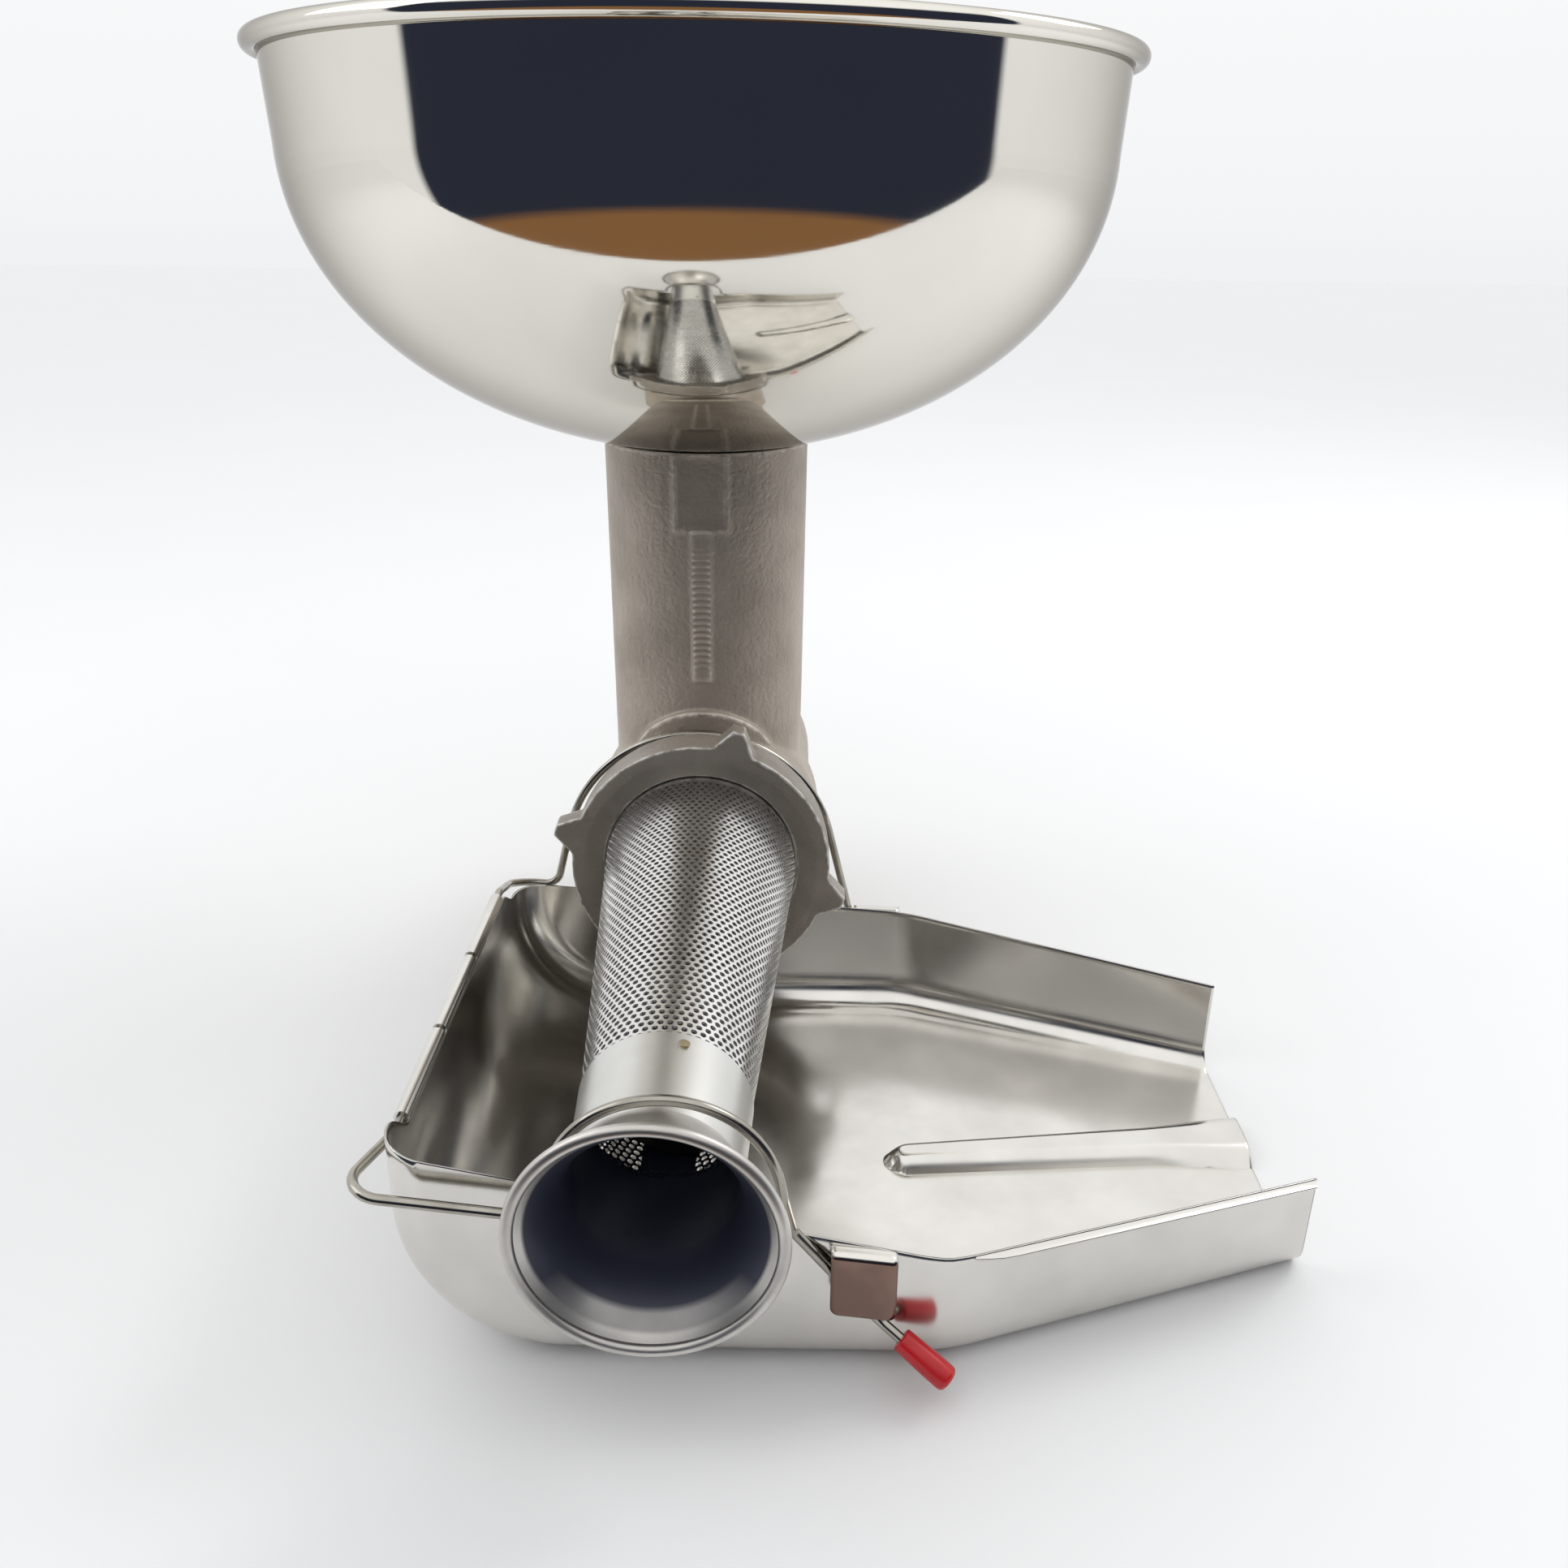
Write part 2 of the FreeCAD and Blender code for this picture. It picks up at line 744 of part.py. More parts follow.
def tab(plate_y, outward, x_mid, top_z):
    """Folded strap over the rim: a top strip and an outer plate with rounded corners."""
    gap = 2 * wire_r + 2 * wire_gap
    reach = gap + tray_sheet
    x_from = x_mid - tab_width / 2
    x_to = x_mid + tab_width / 2
    near, far = sorted([plate_y - outward * tray_sheet, plate_y + outward * reach])
    strip = box(x_from, x_to, near, far, top_z - tray_sheet, top_z)
    leg_near, leg_far = sorted([plate_y - outward * tray_sheet, plate_y])
    leg = box(x_from, x_to, leg_near, leg_far, top_z - tab_drop / 2, top_z)
    out_near, out_far = sorted([plate_y + outward * gap, plate_y + outward * reach])
    plate = box(x_from, x_to, out_near, out_far, top_z - tab_drop, top_z)
    corners = []
    for edge in plate.Edges:
        if edge.BoundBox.YLength > tray_sheet / 2 and edge.BoundBox.ZMax < top_z - tab_drop / 2:
            corners.append(edge)
    return strip.fuse([leg, plate.makeFillet(tab_corner_r, corners)])


def front_tab_top():
    """Top of the front tab."""
    return rim_height(tab_front_x, rim_front_bend_z, rim_front_left_z)


def rear_tab_top():
    """Top of the rear tab."""
    return rim_height(tab_rear_x, rim_rear_bend_z, rim_rear_left_z)


def spout_rib():
    """Raised rib along the spout's floor, rounded at its inner tip and wider at its end."""
    tip_x = tray_end_x - rib_length
    low = tray_floor_z + tray_sheet / 2
    tip_y = tray_mid_y + rib_tip_y_shift
    end_y = tray_mid_y + rib_end_y_shift
    sections = []
    for x, y, r in ((tip_x, tip_y, rib_tip_r), (tray_end_x, end_y, rib_end_r)):
        crown = r * rib_crown_share
        sections.append(
            polygon(
                [
                    (x, y - r, low),
                    (x, y - crown, low + rib_height),
                    (x, y + crown, low + rib_height),
                    (x, y + r, low),
                ]
            )
        )
    bar = Part.makeLoft(sections, True, True)
    nose = Part.makeCone(rib_tip_r, rib_tip_r * rib_crown_share, rib_height, V(tip_x, tip_y, low))
    return bar.fuse(nose)


def spout_lip():
    """Narrow flange turned out along the spout's front rim."""
    bend = V(tray_bend_x, tray_front_y, rim_front_bend_z - lip_below_rim)
    end = V(tray_end_x, tray_mid_y - spout_end_half, rim_end_z - lip_below_rim)
    along = (end - bend).normalize()
    out = V(along.y, -along.x, 0).normalize()
    start = bend + along * lip_from_bend
    corners = [
        start - out * tray_sheet / 2,
        end - out * tray_sheet / 2,
        end + out * lip_width,
        start + out * lip_width,
    ]
    face = Part.Face(Part.makePolygon(corners + corners[:1]))
    return face.extrude(V(0, 0, -tray_sheet))


def drip_tray():
    """Pressed tray: pan, spout, curled rim, folded tabs, rib and lip."""
    outer = pan_block(0.0).fuse(spout_block(0.0, 0.0))
    inner = pan_block(tray_sheet).fuse(spout_block(tray_sheet, overrun))
    shell = outer.cut(inner).cut(rim_cutter())
    extras = curls()
    extras.append(tab(tray_front_y, -1, tab_front_x, front_tab_top()))
    extras.append(tab(tray_rear_y, 1, tab_rear_x, rear_tab_top()))
    extras.append(spout_rib())
    extras.append(spout_lip())
    shell = shell.fuse(extras)
    rear_notch_r = barrel_collar_r + rear_notch_gap
    front_notch_r = collar_r_rear + front_notch_gap
    bore_r = wire_r + running_gap
    bore_front = tray_front_y - overrun
    bore_rear = tray_rear_y + overrun
    wire_bore = cylinder_y(bore_r, bore_front, bore_rear, hinge_x(), rim_left_z)
    notches = [
        cylinder_y(rear_notch_r, tray_rear_y - 2 * tray_sheet, tray_rear_y + 2 * tray_sheet),
        cylinder_y(front_notch_r, tray_front_y - 2 * tray_sheet, tray_front_y + 2 * tray_sheet),
        wire_bore,
    ]
    return shell.cut(notches).removeSplitter()


def rear_wire_y():
    """Plane of the rear arch, just behind the tray's rear plate."""
    return tray_rear_y + wire_gap + wire_r


def front_wire_y():
    """Plane of the front end behind its tab, just ahead of the tray's front plate."""
    return tray_front_y - wire_gap - wire_r


def rear_arch_z():
    """Centre of the rear arch, so that its top rests on the barrel's collar."""
    return barrel_collar_r + arch_gap + wire_r - rear_arch_r


def front_arch_z():
    """Centre of the front arch, so that its top rests in the groove behind the bell."""
    return collar_r_front + front_arch_gap + wire_r - front_arch_r


def arch_edges(y, r, z, x, lean):
    """Arch from its left foot over the top to its right foot, each foot above the centre by the lean."""
    across = r * math.cos(math.radians(lean))
    foot = foot_z(r, z, lean)
    return Part.Arc(V(x - across, y, foot), V(x, y, z + r), V(x + across, y, foot)).toShape()


def foot_z(r, z, lean):
    """Height at which an arch ends and its legs begin."""
    return z + r * math.sin(math.radians(lean))


def leg_x(side, at_z, x, r, z, lean):
    """Place of a leg at a height, straight on from its arch and leaning outwards."""
    slope = math.radians(lean)
    return x + side * (r * math.cos(slope) + (foot_z(r, z, lean) - at_z) * math.tan(slope))


def rear_foot_z():
    """Height of the rear arch's feet."""
    return foot_z(rear_arch_r, rear_arch_z(), rear_leg_lean)


def rear_leg_x(side, at_z):
    """Place of a rear leg at a height."""
    return leg_x(side, at_z, rear_arch_x, rear_arch_r, rear_arch_z(), rear_leg_lean)


def front_foot_z():
    """Height of the front arch's feet."""
    return foot_z(front_arch_r, front_arch_z(), front_leg_lean)


def front_leg_x(side, at_z):
    """Place of a front leg at a height."""
    return leg_x(side, at_z, front_arch_x, front_arch_r, front_arch_z(), front_leg_lean)


def bail_wire():
    """Bail from its rear right foot over the barrel, through the curl and over the outlet."""
    x = hinge_x()
    rear_y = rear_wire_y()
    front_y = outlet_collar_front_y
    rear_run_z = rim_left_z - rear_run_drop
    front_run_z = rim_left_z - front_run_drop
    run_half = curl_half() + corner_bend_r / 2
    middle = bent_path(
        [
            (rear_leg_x(-1, rear_foot_z()), rear_y, rear_foot_z()),
            (rear_leg_x(-1, rear_run_z), rear_y, rear_run_z),
            (x, rear_y, rear_run_z + rear_corner_lift),
            (x, tray_mid_y + run_half, rim_left_z),
            (x, tray_mid_y - run_half, rim_left_z),
            (x - front_corner_out, front_y, front_run_z + front_corner_lift),
            (front_leg_x(-1, front_run_z), front_y, front_run_z),
            (front_leg_x(-1, front_foot_z()), front_y, front_foot_z()),
        ],
        [bend_r, corner_bend_r, corner_bend_r, corner_bend_r, front_corner_bend_r, bend_r],
    )
    edges = [arch_edges(rear_y, rear_arch_r, rear_arch_z(), rear_arch_x, rear_leg_lean)]
    edges += middle.Edges
    edges.append(arch_edges(front_y, front_arch_r, front_arch_z(), front_arch_x, front_leg_lean))
    path = Part.Wire(Part.__sortEdges__(edges))
    return tube_along(path, wire_r)


def front_end_points():
    """Route of the bail's front end, down beside the outlet, back behind its tab and out below it."""
    arch_y = outlet_collar_front_y
    plate_y = front_wire_y()
    top = front_foot_z()
    leg = top - front_leg_drop
    low_x = front_knee_x + front_straight_reach
    low_z = front_knee_z - front_straight_drop
    return [
        (front_leg_x(1, top), arch_y, top),
        (front_leg_x(1, leg), arch_y, leg),
        (front_knee_x, plate_y, front_knee_z),
        (low_x, plate_y, low_z),
        (low_x + front_end_reach, plate_y - front_end_flare, low_z - front_end_drop),
    ]


def rear_end_points():
    """Route of the bail's rear end, down behind the rear plate and out under the rear tab."""
    y = rear_wire_y()
    knee = rear_tab_top() - rear_knee_below_rim
    knee_x = rear_leg_x(1, knee)
    share = rear_straight_share
    return [
        (rear_leg_x(1, rear_foot_z()), y, rear_foot_z()),
        (knee_x, y, knee),
        (knee_x + rear_end_reach * share, y, knee - rear_end_drop * share),
        (knee_x + rear_end_reach, y + rear_end_flare, knee - rear_end_drop),
    ]


def tip_on(points):
    """Plastic sleeve with a round nose over the last stretch of a wire."""
    end = V(*points[-1])
    direction = (end - V(*points[-2])).normalize()
    start = end - direction * (tip_length - tip_overhang)
    body = Part.makeCylinder(tip_r, tip_length, start, direction)
    rim = [e for e in body.Edges if e.Closed and (e.CenterOfMass - start).Length > tip_length / 2]
    body = body.makeFillet(tip_nose_r, rim)
    bore = Part.makeCylinder(wire_r + tip_bore_gap, tip_length - tip_overhang, start, direction)
    return body.cut(bore)


def build():
    """Make every node."""
    os.makedirs("parts", exist_ok=True)
    front_points = front_end_points()
    rear_points = rear_end_points()
    nodes = {
        "hopper_bowl": bowl_shell(),
        "hopper_spigot": spigot(),
        "body_casting": casting(),
        "locating_dowel": cylinder_y(dowel_r, -dowel_seat, dowel_length, dowel_offset),
        "rear_bush": rear_bush(),
        "shaft_seal": shaft_seal(),
        "thrust_washer": thrust_washer(),
        "auger_shaft": auger_shaft(),
        "drive_pin": drive_pin(),
        "retaining_clip": retaining_clip(),
        "auger_screw": feed_screw(),
        "ring_nut": ring_nut(),
        "strainer_flange": strainer_flange(),
        "strainer_gasket": strainer_gasket(),
        "strainer_cone": strainer_cone(),
        "outlet_collar": outlet_collar(),
        "collar_rivet": collar_rivet(),
        "outlet_flare": outlet_flare(),
        "drip_tray": drip_tray(),
        "bail_wire": bail_wire(),
        "front_bail_end": tube_along(bent_path(front_points, [bend_r, bend_r, corner_bend_r]), wire_r),
        "rear_bail_end": tube_along(bent_path(rear_points, [bend_r, corner_bend_r]), wire_r),
        "front_grip_tip": tip_on(front_points),
        "rear_grip_tip": tip_on(rear_points),
    }
    for node, shape in nodes.items():
        save(shape, node)


build()
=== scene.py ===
"""Looks of the tomato milling head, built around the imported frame."""
import json
import math
from collections import namedtuple

import bmesh
import bpy
import numpy as np
from mathutils import Matrix, Vector


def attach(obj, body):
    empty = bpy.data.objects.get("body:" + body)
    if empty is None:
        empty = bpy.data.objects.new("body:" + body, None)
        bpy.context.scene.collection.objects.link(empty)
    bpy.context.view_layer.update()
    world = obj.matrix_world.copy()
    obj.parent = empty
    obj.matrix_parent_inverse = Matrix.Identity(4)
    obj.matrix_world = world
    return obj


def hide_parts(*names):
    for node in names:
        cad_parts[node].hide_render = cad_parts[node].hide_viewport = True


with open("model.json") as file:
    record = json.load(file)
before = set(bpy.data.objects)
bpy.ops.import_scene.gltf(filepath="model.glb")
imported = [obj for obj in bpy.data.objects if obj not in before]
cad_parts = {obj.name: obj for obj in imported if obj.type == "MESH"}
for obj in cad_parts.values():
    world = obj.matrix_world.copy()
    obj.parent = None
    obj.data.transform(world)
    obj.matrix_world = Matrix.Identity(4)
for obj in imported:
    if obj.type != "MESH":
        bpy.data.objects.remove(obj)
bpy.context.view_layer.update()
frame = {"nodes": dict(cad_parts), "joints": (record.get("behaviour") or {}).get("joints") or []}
nodes = frame["nodes"]
scene = bpy.context.scene
MM = 0.001
Box = namedtuple("Box", "left front bottom right rear top")
Arch = namedtuple("Arch", "x y z r lean foot_out foot_z")


def solid_box(name):
    """Box of a solid at rest, in millimetres to a tenth."""
    spans = list(zip(*nodes[name].bound_box))
    low = [round(min(span) / MM, 1) for span in spans]
    high = [round(max(span) / MM, 1) for span in spans]
    return Box(*low, *high)


def hinge_place(name):
    """Place of a joint, in millimetres to a hundredth."""
    joint = next(j for j in frame["joints"] if j["name"] == name)
    return [round(c / MM, 2) for c in joint["pos_m"]]


# Sizes of the bowl and the casting, in millimetres
bowl_box = solid_box("hopper_bowl")
casting_box = solid_box("body_casting")
NECK_Y = (bowl_box.front + bowl_box.rear) / 2
NECK_TOP_Z = casting_box.top
BARREL_COLLAR_R = casting_box.right
PAD_HALF = 9.0
PAD_HEIGHT = 27.0
PAD_TOP_Z = NECK_TOP_Z - 0.5
BOWL_SHEET = 1.0
BOWL_BEAD_R = 3.0
BOWL_DRAFT = 1.5
BOWL_WALL_HEIGHT = 29.0
BOWL_DISH_DEPTH = 100.8
BOWL_RIM_R = bowl_box.right
BOWL_DISH_R = BOWL_RIM_R - 2 * BOWL_BEAD_R + BOWL_SHEET - BOWL_DRAFT
BOWL_BEAD_Z = bowl_box.top - BOWL_BEAD_R
BOWL_DISH_Z = BOWL_BEAD_Z - BOWL_WALL_HEIGHT
SPIGOT_WALL = 1.2
BOWL_HOLE_R = solid_box("hopper_spigot").right - SPIGOT_WALL

# Sizes of the strainer and its outlet
SHEET = 0.8
cone_box = solid_box("strainer_cone")
CONE_REAR_Y = cone_box.rear
CONE_FRONT_Y = cone_box.front
CONE_REAR_R = cone_box.right
CONE_FRONT_R = 24.0
collar_box = solid_box("outlet_collar")
COLLAR_REAR_Y = collar_box.rear
COLLAR_FRONT_Y = collar_box.front
COLLAR_REAR_R = collar_box.right
COLLAR_FRONT_R = 23.2
flare_box = solid_box("outlet_flare")
FLARE_FRONT_Y = flare_box.front
FLARE_RIM_R = flare_box.right
FLARE_BEAD_R = 1.7

# Sizes of the tray and the bail
WIRE_R = 1.5
WIRE_GAP = 0.4
CURL_GAP = 0.05
CURL_FROM_WALL = 0.1
CURL_COUNT = 3
CURL_LENGTH = 43.0
CURL_SPACING = 45.0
CURL_WALL = 0.8
CURL_HALF = (CURL_SPACING * (CURL_COUNT - 1) + CURL_LENGTH) / 2
HINGE_X, TRAY_MID_Y, HINGE_Z = hinge_place("bail_swing")
tray_box = solid_box("drip_tray")
STRAP_GAP = 2 * (WIRE_R + WIRE_GAP)
TRAY_REAR_Y = tray_box.rear - STRAP_GAP - SHEET
TRAY_FRONT_Y = tray_box.front + STRAP_GAP + SHEET
TRAY_HALF = TRAY_REAR_Y - TRAY_MID_Y
TRAY_FLOOR_Z = tray_box.bottom
TRAY_LEFT_X = HINGE_X + WIRE_R + CURL_GAP + CURL_FROM_WALL
TRAY_BEND_X = 79.0
SPOUT_LENGTH = 115.0
TRAY_END_X = TRAY_BEND_X + SPOUT_LENGTH
TRAY_ROUND = 48.0
TRAY_EDGE = 12.0
SPOUT_EDGE = 9.0
SPOUT_HALF = 55.0
SPOUT_SLOPE = (SPOUT_HALF - TRAY_HALF) / SPOUT_LENGTH
BEND_SOFT = 9.0
REAR_NOTCH_R = BARREL_COLLAR_R + 1.2
FRONT_NOTCH_R = COLLAR_REAR_R + 2.0
REAR_WIRE_Y = TRAY_REAR_Y + WIRE_GAP + WIRE_R
FRONT_WIRE_Y = TRAY_FRONT_Y - WIRE_GAP - WIRE_R
REAR_ARCH = Arch(x=-1.5, y=REAR_WIRE_Y, z=-5.0, r=BARREL_COLLAR_R + 6.8, lean=14.0,
                 foot_out=50.75, foot_z=7.65)
FRONT_ARCH = Arch(x=2.0, y=COLLAR_FRONT_Y, z=-5.1, r=31.0, lean=10.0,
                  foot_out=30.53, foot_z=0.28)
FRONT_TAB_X = 55.5
REAR_TAB_X = REAR_ARCH.x + REAR_ARCH.r + 18.5

# Heights of the tray's rim at its left, its bend and its end
FRONT_RIM = (3.0, -30.0, -34.0)
REAR_RIM = (-16.5, -27.0, -34.0)


# Meshes
def add_piece(name, points, faces, material, body, stands_for, sharp_angle=40.0):
    """One mesh piece, in millimetres, smooth apart from its sharp edges."""
    mesh = bpy.data.meshes.new(name)
    mesh.from_pydata([[c * MM for c in p] for p in points], [], faces)
    mesh.validate()
    work = bmesh.new()
    work.from_mesh(mesh)
    bmesh.ops.remove_doubles(work, verts=work.verts, dist=1e-7)
    bmesh.ops.recalc_face_normals(work, faces=work.faces)
    work.to_mesh(mesh)
    work.free()
    return add_object(name, mesh, material, body, stands_for, sharp_angle)


def add_object(name, mesh, material, body, stands_for, sharp_angle):
    """Object for a finished mesh, riding on a body and standing for solids."""
    mesh.shade_smooth()
    mesh.set_sharp_from_angle(angle=math.radians(sharp_angle))
    mesh.materials.clear()
    mesh.materials.append(material)
    obj = bpy.data.objects.new(name, mesh)
    scene.collection.objects.link(obj)
    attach(obj, body)
    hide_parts(*stands_for)
    return obj


def grid_faces(rows, columns, close_rows=False, close_columns=False, start=0):
    """Quads of a grid whose points are listed row by row."""
    faces = []
    for i in range(rows if close_rows else rows - 1):
        for j in range(columns if close_columns else columns - 1):
            a = start + i * columns + j
            b = start + i * columns + (j + 1) % columns
            c = start + ((i + 1) % rows) * columns + (j + 1) % columns
            d = start + ((i + 1) % rows) * columns + j
            faces.append((a, b, c, d))
    return faces


def turn(profile, axis, count):
    """Closed profile of (radius, height) turned about the neck's or the barrel's axis."""
    points = []
    for i in range(count):
        a = 2 * math.pi * i / count
        for r, h in profile:
            if axis == "neck":
                points.append((r * math.cos(a), NECK_Y + r * math.sin(a), h))
            else:
                points.append((r * math.cos(a), h, r * math.sin(a)))
    return points, grid_faces(count, len(profile), True, True)


def bar(profile, stations, place):
    """Closed profile carried through stations, with its ends closed."""
    points = [place(s, p) for s in stations for p in profile]
    size = len(profile)
    last = (len(stations) - 1) * size
    faces = grid_faces(len(stations), size, False, True)
    faces += [tuple(range(size)), tuple(range(last, last + size))]
    return points, faces


def arc(centre, r, start, end, count):
    """Points on a flat arc, angles in degrees."""
    out = []
    for i in range(count + 1):
        a = math.radians(start + (end - start) * i / count)
        out.append((centre[0] + r * math.cos(a), centre[1] + r * math.sin(a)))
    return out


def soft_step(low, high, value):
    """Smooth step from 0 to 1."""
    t = min(1.0, max(0.0, (value - low) / (high - low)))
    return t * t * (3 - 2 * t)


# Shader nodes
def new_material(name):
    """Material with its node tree and principled shader."""
    material = bpy.data.materials.new(name)
    material.use_nodes = True
    tree = material.node_tree
    return material, tree, tree.nodes["Principled BSDF"]


def noise(tree, scale, detail, stretch=(1, 1, 1)):
    """Noise on the piece's own coordinates."""
    place = tree.nodes.new("ShaderNodeTexCoord")
    mapping = tree.nodes.new("ShaderNodeMapping")
    mapping.inputs["Scale"].default_value = stretch
    texture = tree.nodes.new("ShaderNodeTexNoise")
    texture.inputs["Scale"].default_value = scale
    texture.inputs["Detail"].default_value = detail
    tree.links.new(place.outputs["Object"], mapping.inputs["Vector"])
    tree.links.new(mapping.outputs["Vector"], texture.inputs["Vector"])
    return texture.outputs["Fac"]


def spread(tree, value, low, high, out_low=0.0, out_high=1.0):
    """Map a value from one range to another, held at its ends."""
    node = tree.nodes.new("ShaderNodeMapRange")
    node.inputs["From Min"].default_value = low
    node.inputs["From Max"].default_value = high
    node.inputs["To Min"].default_value = out_low
    node.inputs["To Max"].default_value = out_high
    tree.links.new(value, node.inputs["Value"])
    return node.outputs["Result"]


def blend(tree, factor, first, second):
    """Colour between two others by a value; a plain colour is set on its socket."""
    node = tree.nodes.new("ShaderNodeMix")
    node.data_type = "RGBA"
    tree.links.new(factor, node.inputs["Factor"])
    for socket, colour in (("A", first), ("B", second)):
        if isinstance(colour, tuple):
            node.inputs[socket].default_value = (*colour, 1)
        else:
            tree.links.new(colour, node.inputs[socket])
    return node.outputs["Result"]


def combine(tree, operation, first, second=0.0):
    """Two values put together; a plain number is set on its socket."""
    node = tree.nodes.new("ShaderNodeMath")
    node.operation = operation
    for socket, value in zip(node.inputs, (first, second)):
        if isinstance(value, (int, float)):
            socket.default_value = value
        else:
            tree.links.new(value, socket)
    return node.outputs["Value"]


def product(tree, *values):
    """Several values multiplied."""
    result = values[0]
    for value in values[1:]:
        result = combine(tree, "MULTIPLY", result, value)
    return result


def split(tree, kind):
    """Coordinates of one kind, one by one."""
    place = tree.nodes.new("ShaderNodeTexCoord")
    parts = tree.nodes.new("ShaderNodeSeparateXYZ")
    tree.links.new(place.outputs[kind], parts.inputs["Vector"])
    return parts.outputs


def bump(tree, shader, value, strength, distance):
    """Small relief from a value, with its distance in millimetres."""
    node = tree.nodes.new("ShaderNodeBump")
    node.inputs["Strength"].default_value = strength
    node.inputs["Distance"].default_value = distance * MM
    tree.links.new(value, node.inputs["Height"])
    tree.links.new(node.outputs["Normal"], shader.inputs["Normal"])


# Materials
METAL = 1.0
PLASTIC = 0.0
NOISE_BAND = (0.3, 0.7)
NOISE_CORE = (0.35, 0.65)
CAST_METALLIC = 0.25
RUB_AND_SHEEN_RANGE = (0.3, 1.4)
COARSE_SHARE = 0.8
# Range of upward normal over which the front strap's painted reflection gives way to plain steel
FOLD_UPWARD = (0.3, 0.7)

# Ridges on the neck's strip, in metres: pitch, sides, face, foot and head
RIDGE_PITCH = 2.4 * MM
STRIP_SIDE = (2.6 * MM, 3.4 * MM)
STRIP_FACE = (-97.0 * MM, -94.0 * MM)
STRIP_FOOT = (66.0 * MM, 80.0 * MM)
STRIP_HEAD = (114.0 * MM, 119.0 * MM)
# painted highlight: how much the ridge rows lighten and darken the colour in bands
RIDGE_PAINTED_SHINE = 0.03
RIDGE_RELIEF = 0.7

# Painted shade and dark reflection inside the strainer's pipe, in metres: faces that look inward, behind the
# bell's bead
INWARD = (-10.0 * MM, -2.0 * MM)
BEAD_BACK_Y = (FLARE_FRONT_Y + 2 * FLARE_BEAD_R) * MM
BEHIND_BEAD = (BEAD_BACK_Y, BEAD_BACK_Y + 0.8 * MM)
PIPE_INSIDE_SHADE = (0.042, 0.047, 0.078)
INSIDE_METALLIC = 0.15

# Painted lit crescent low in the bell's mouth, a painted highlight over the painted shade, in metres
CRESCENT_FRONT = (-323.0 * MM, -321.5 * MM)
CRESCENT_TOP = (-24.0 * MM, -14.0 * MM)
CRESCENT_LIGHT = 0.6


def surface(name, tones, metallic, rough, patch_scale, grain_scale, grain, depth=0.05, stretch=(1, 1, 1)):
    """Material with two tones, patchy roughness and a fine grain."""
    material, tree, shader = new_material(name)
    shader.inputs["Metallic"].default_value = metallic
    patches = noise(tree, patch_scale, detail=4.0)
    tree.links.new(blend(tree, spread(tree, patches, *NOISE_BAND), *tones), shader.inputs["Base Color"])
    tree.links.new(spread(tree, patches, *NOISE_BAND, *rough), shader.inputs["Roughness"])
    bump(tree, shader, noise(tree, grain_scale, detail=3.0, stretch=stretch), grain, depth)
    return material


def strip_ridges(tree):
    """Row of small ridges down the strip on the neck's front."""
    place = split(tree, "Object")
    wave = combine(tree, "SINE", product(tree, place["Z"], 2 * math.pi / RIDGE_PITCH))
    return product(
        tree,
        spread(tree, combine(tree, "ABSOLUTE", place["X"]), *STRIP_SIDE, 1.0, 0.0),
        spread(tree, place["Y"], *STRIP_FACE, 1.0, 0.0),
        spread(tree, place["Z"], *STRIP_FOOT, 0.0, 1.0),
        spread(tree, place["Z"], *STRIP_HEAD, 1.0, 0.0),
        wave,
    )


def cast_metal(name, tones, bright, wear_and_highlight, rough, ridges):
    """Tinned casting: two tones, sandy grain, and edges lighter, partly rubbed wear and partly painted
    highlight.
    """
    material, tree, shader = new_material(name)
    shader.inputs["Metallic"].default_value = CAST_METALLIC
    patches = noise(tree, scale=45.0, detail=5.0)
    base = blend(tree, spread(tree, patches, *NOISE_CORE), *tones)
    # edges lighter where the surface bulges out: partly rubbed wear, partly painted highlight
    bulge = tree.nodes.new("ShaderNodeAttribute")
    bulge.attribute_name = "bulge"
    rub_and_sheen = spread(tree, noise(tree, scale=260.0, detail=3.0), *NOISE_BAND, *RUB_AND_SHEEN_RANGE)
    edge = product(tree, bulge.outputs["Fac"], rub_and_sheen)
    coarse = product(tree, noise(tree, scale=210.0, detail=3.0), COARSE_SHARE)
    sand = combine(tree, "ADD", noise(tree, scale=620.0, detail=4.0), coarse)
    if ridges:
        row = strip_ridges(tree)
        # painted highlight: the ridge rows lighten the casting's colour in bands
        edge = combine(tree, "ADD", edge, product(tree, row, RIDGE_PAINTED_SHINE))
        sand = combine(tree, "ADD", sand, product(tree, row, RIDGE_RELIEF))
    tree.links.new(blend(tree, spread(tree, edge, *wear_and_highlight), base, bright), shader.inputs["Base Color"])
    tree.links.new(spread(tree, patches, *NOISE_BAND, *rough), shader.inputs["Roughness"])
    bump(tree, shader, sand, strength=0.75, distance=0.6)
    return material


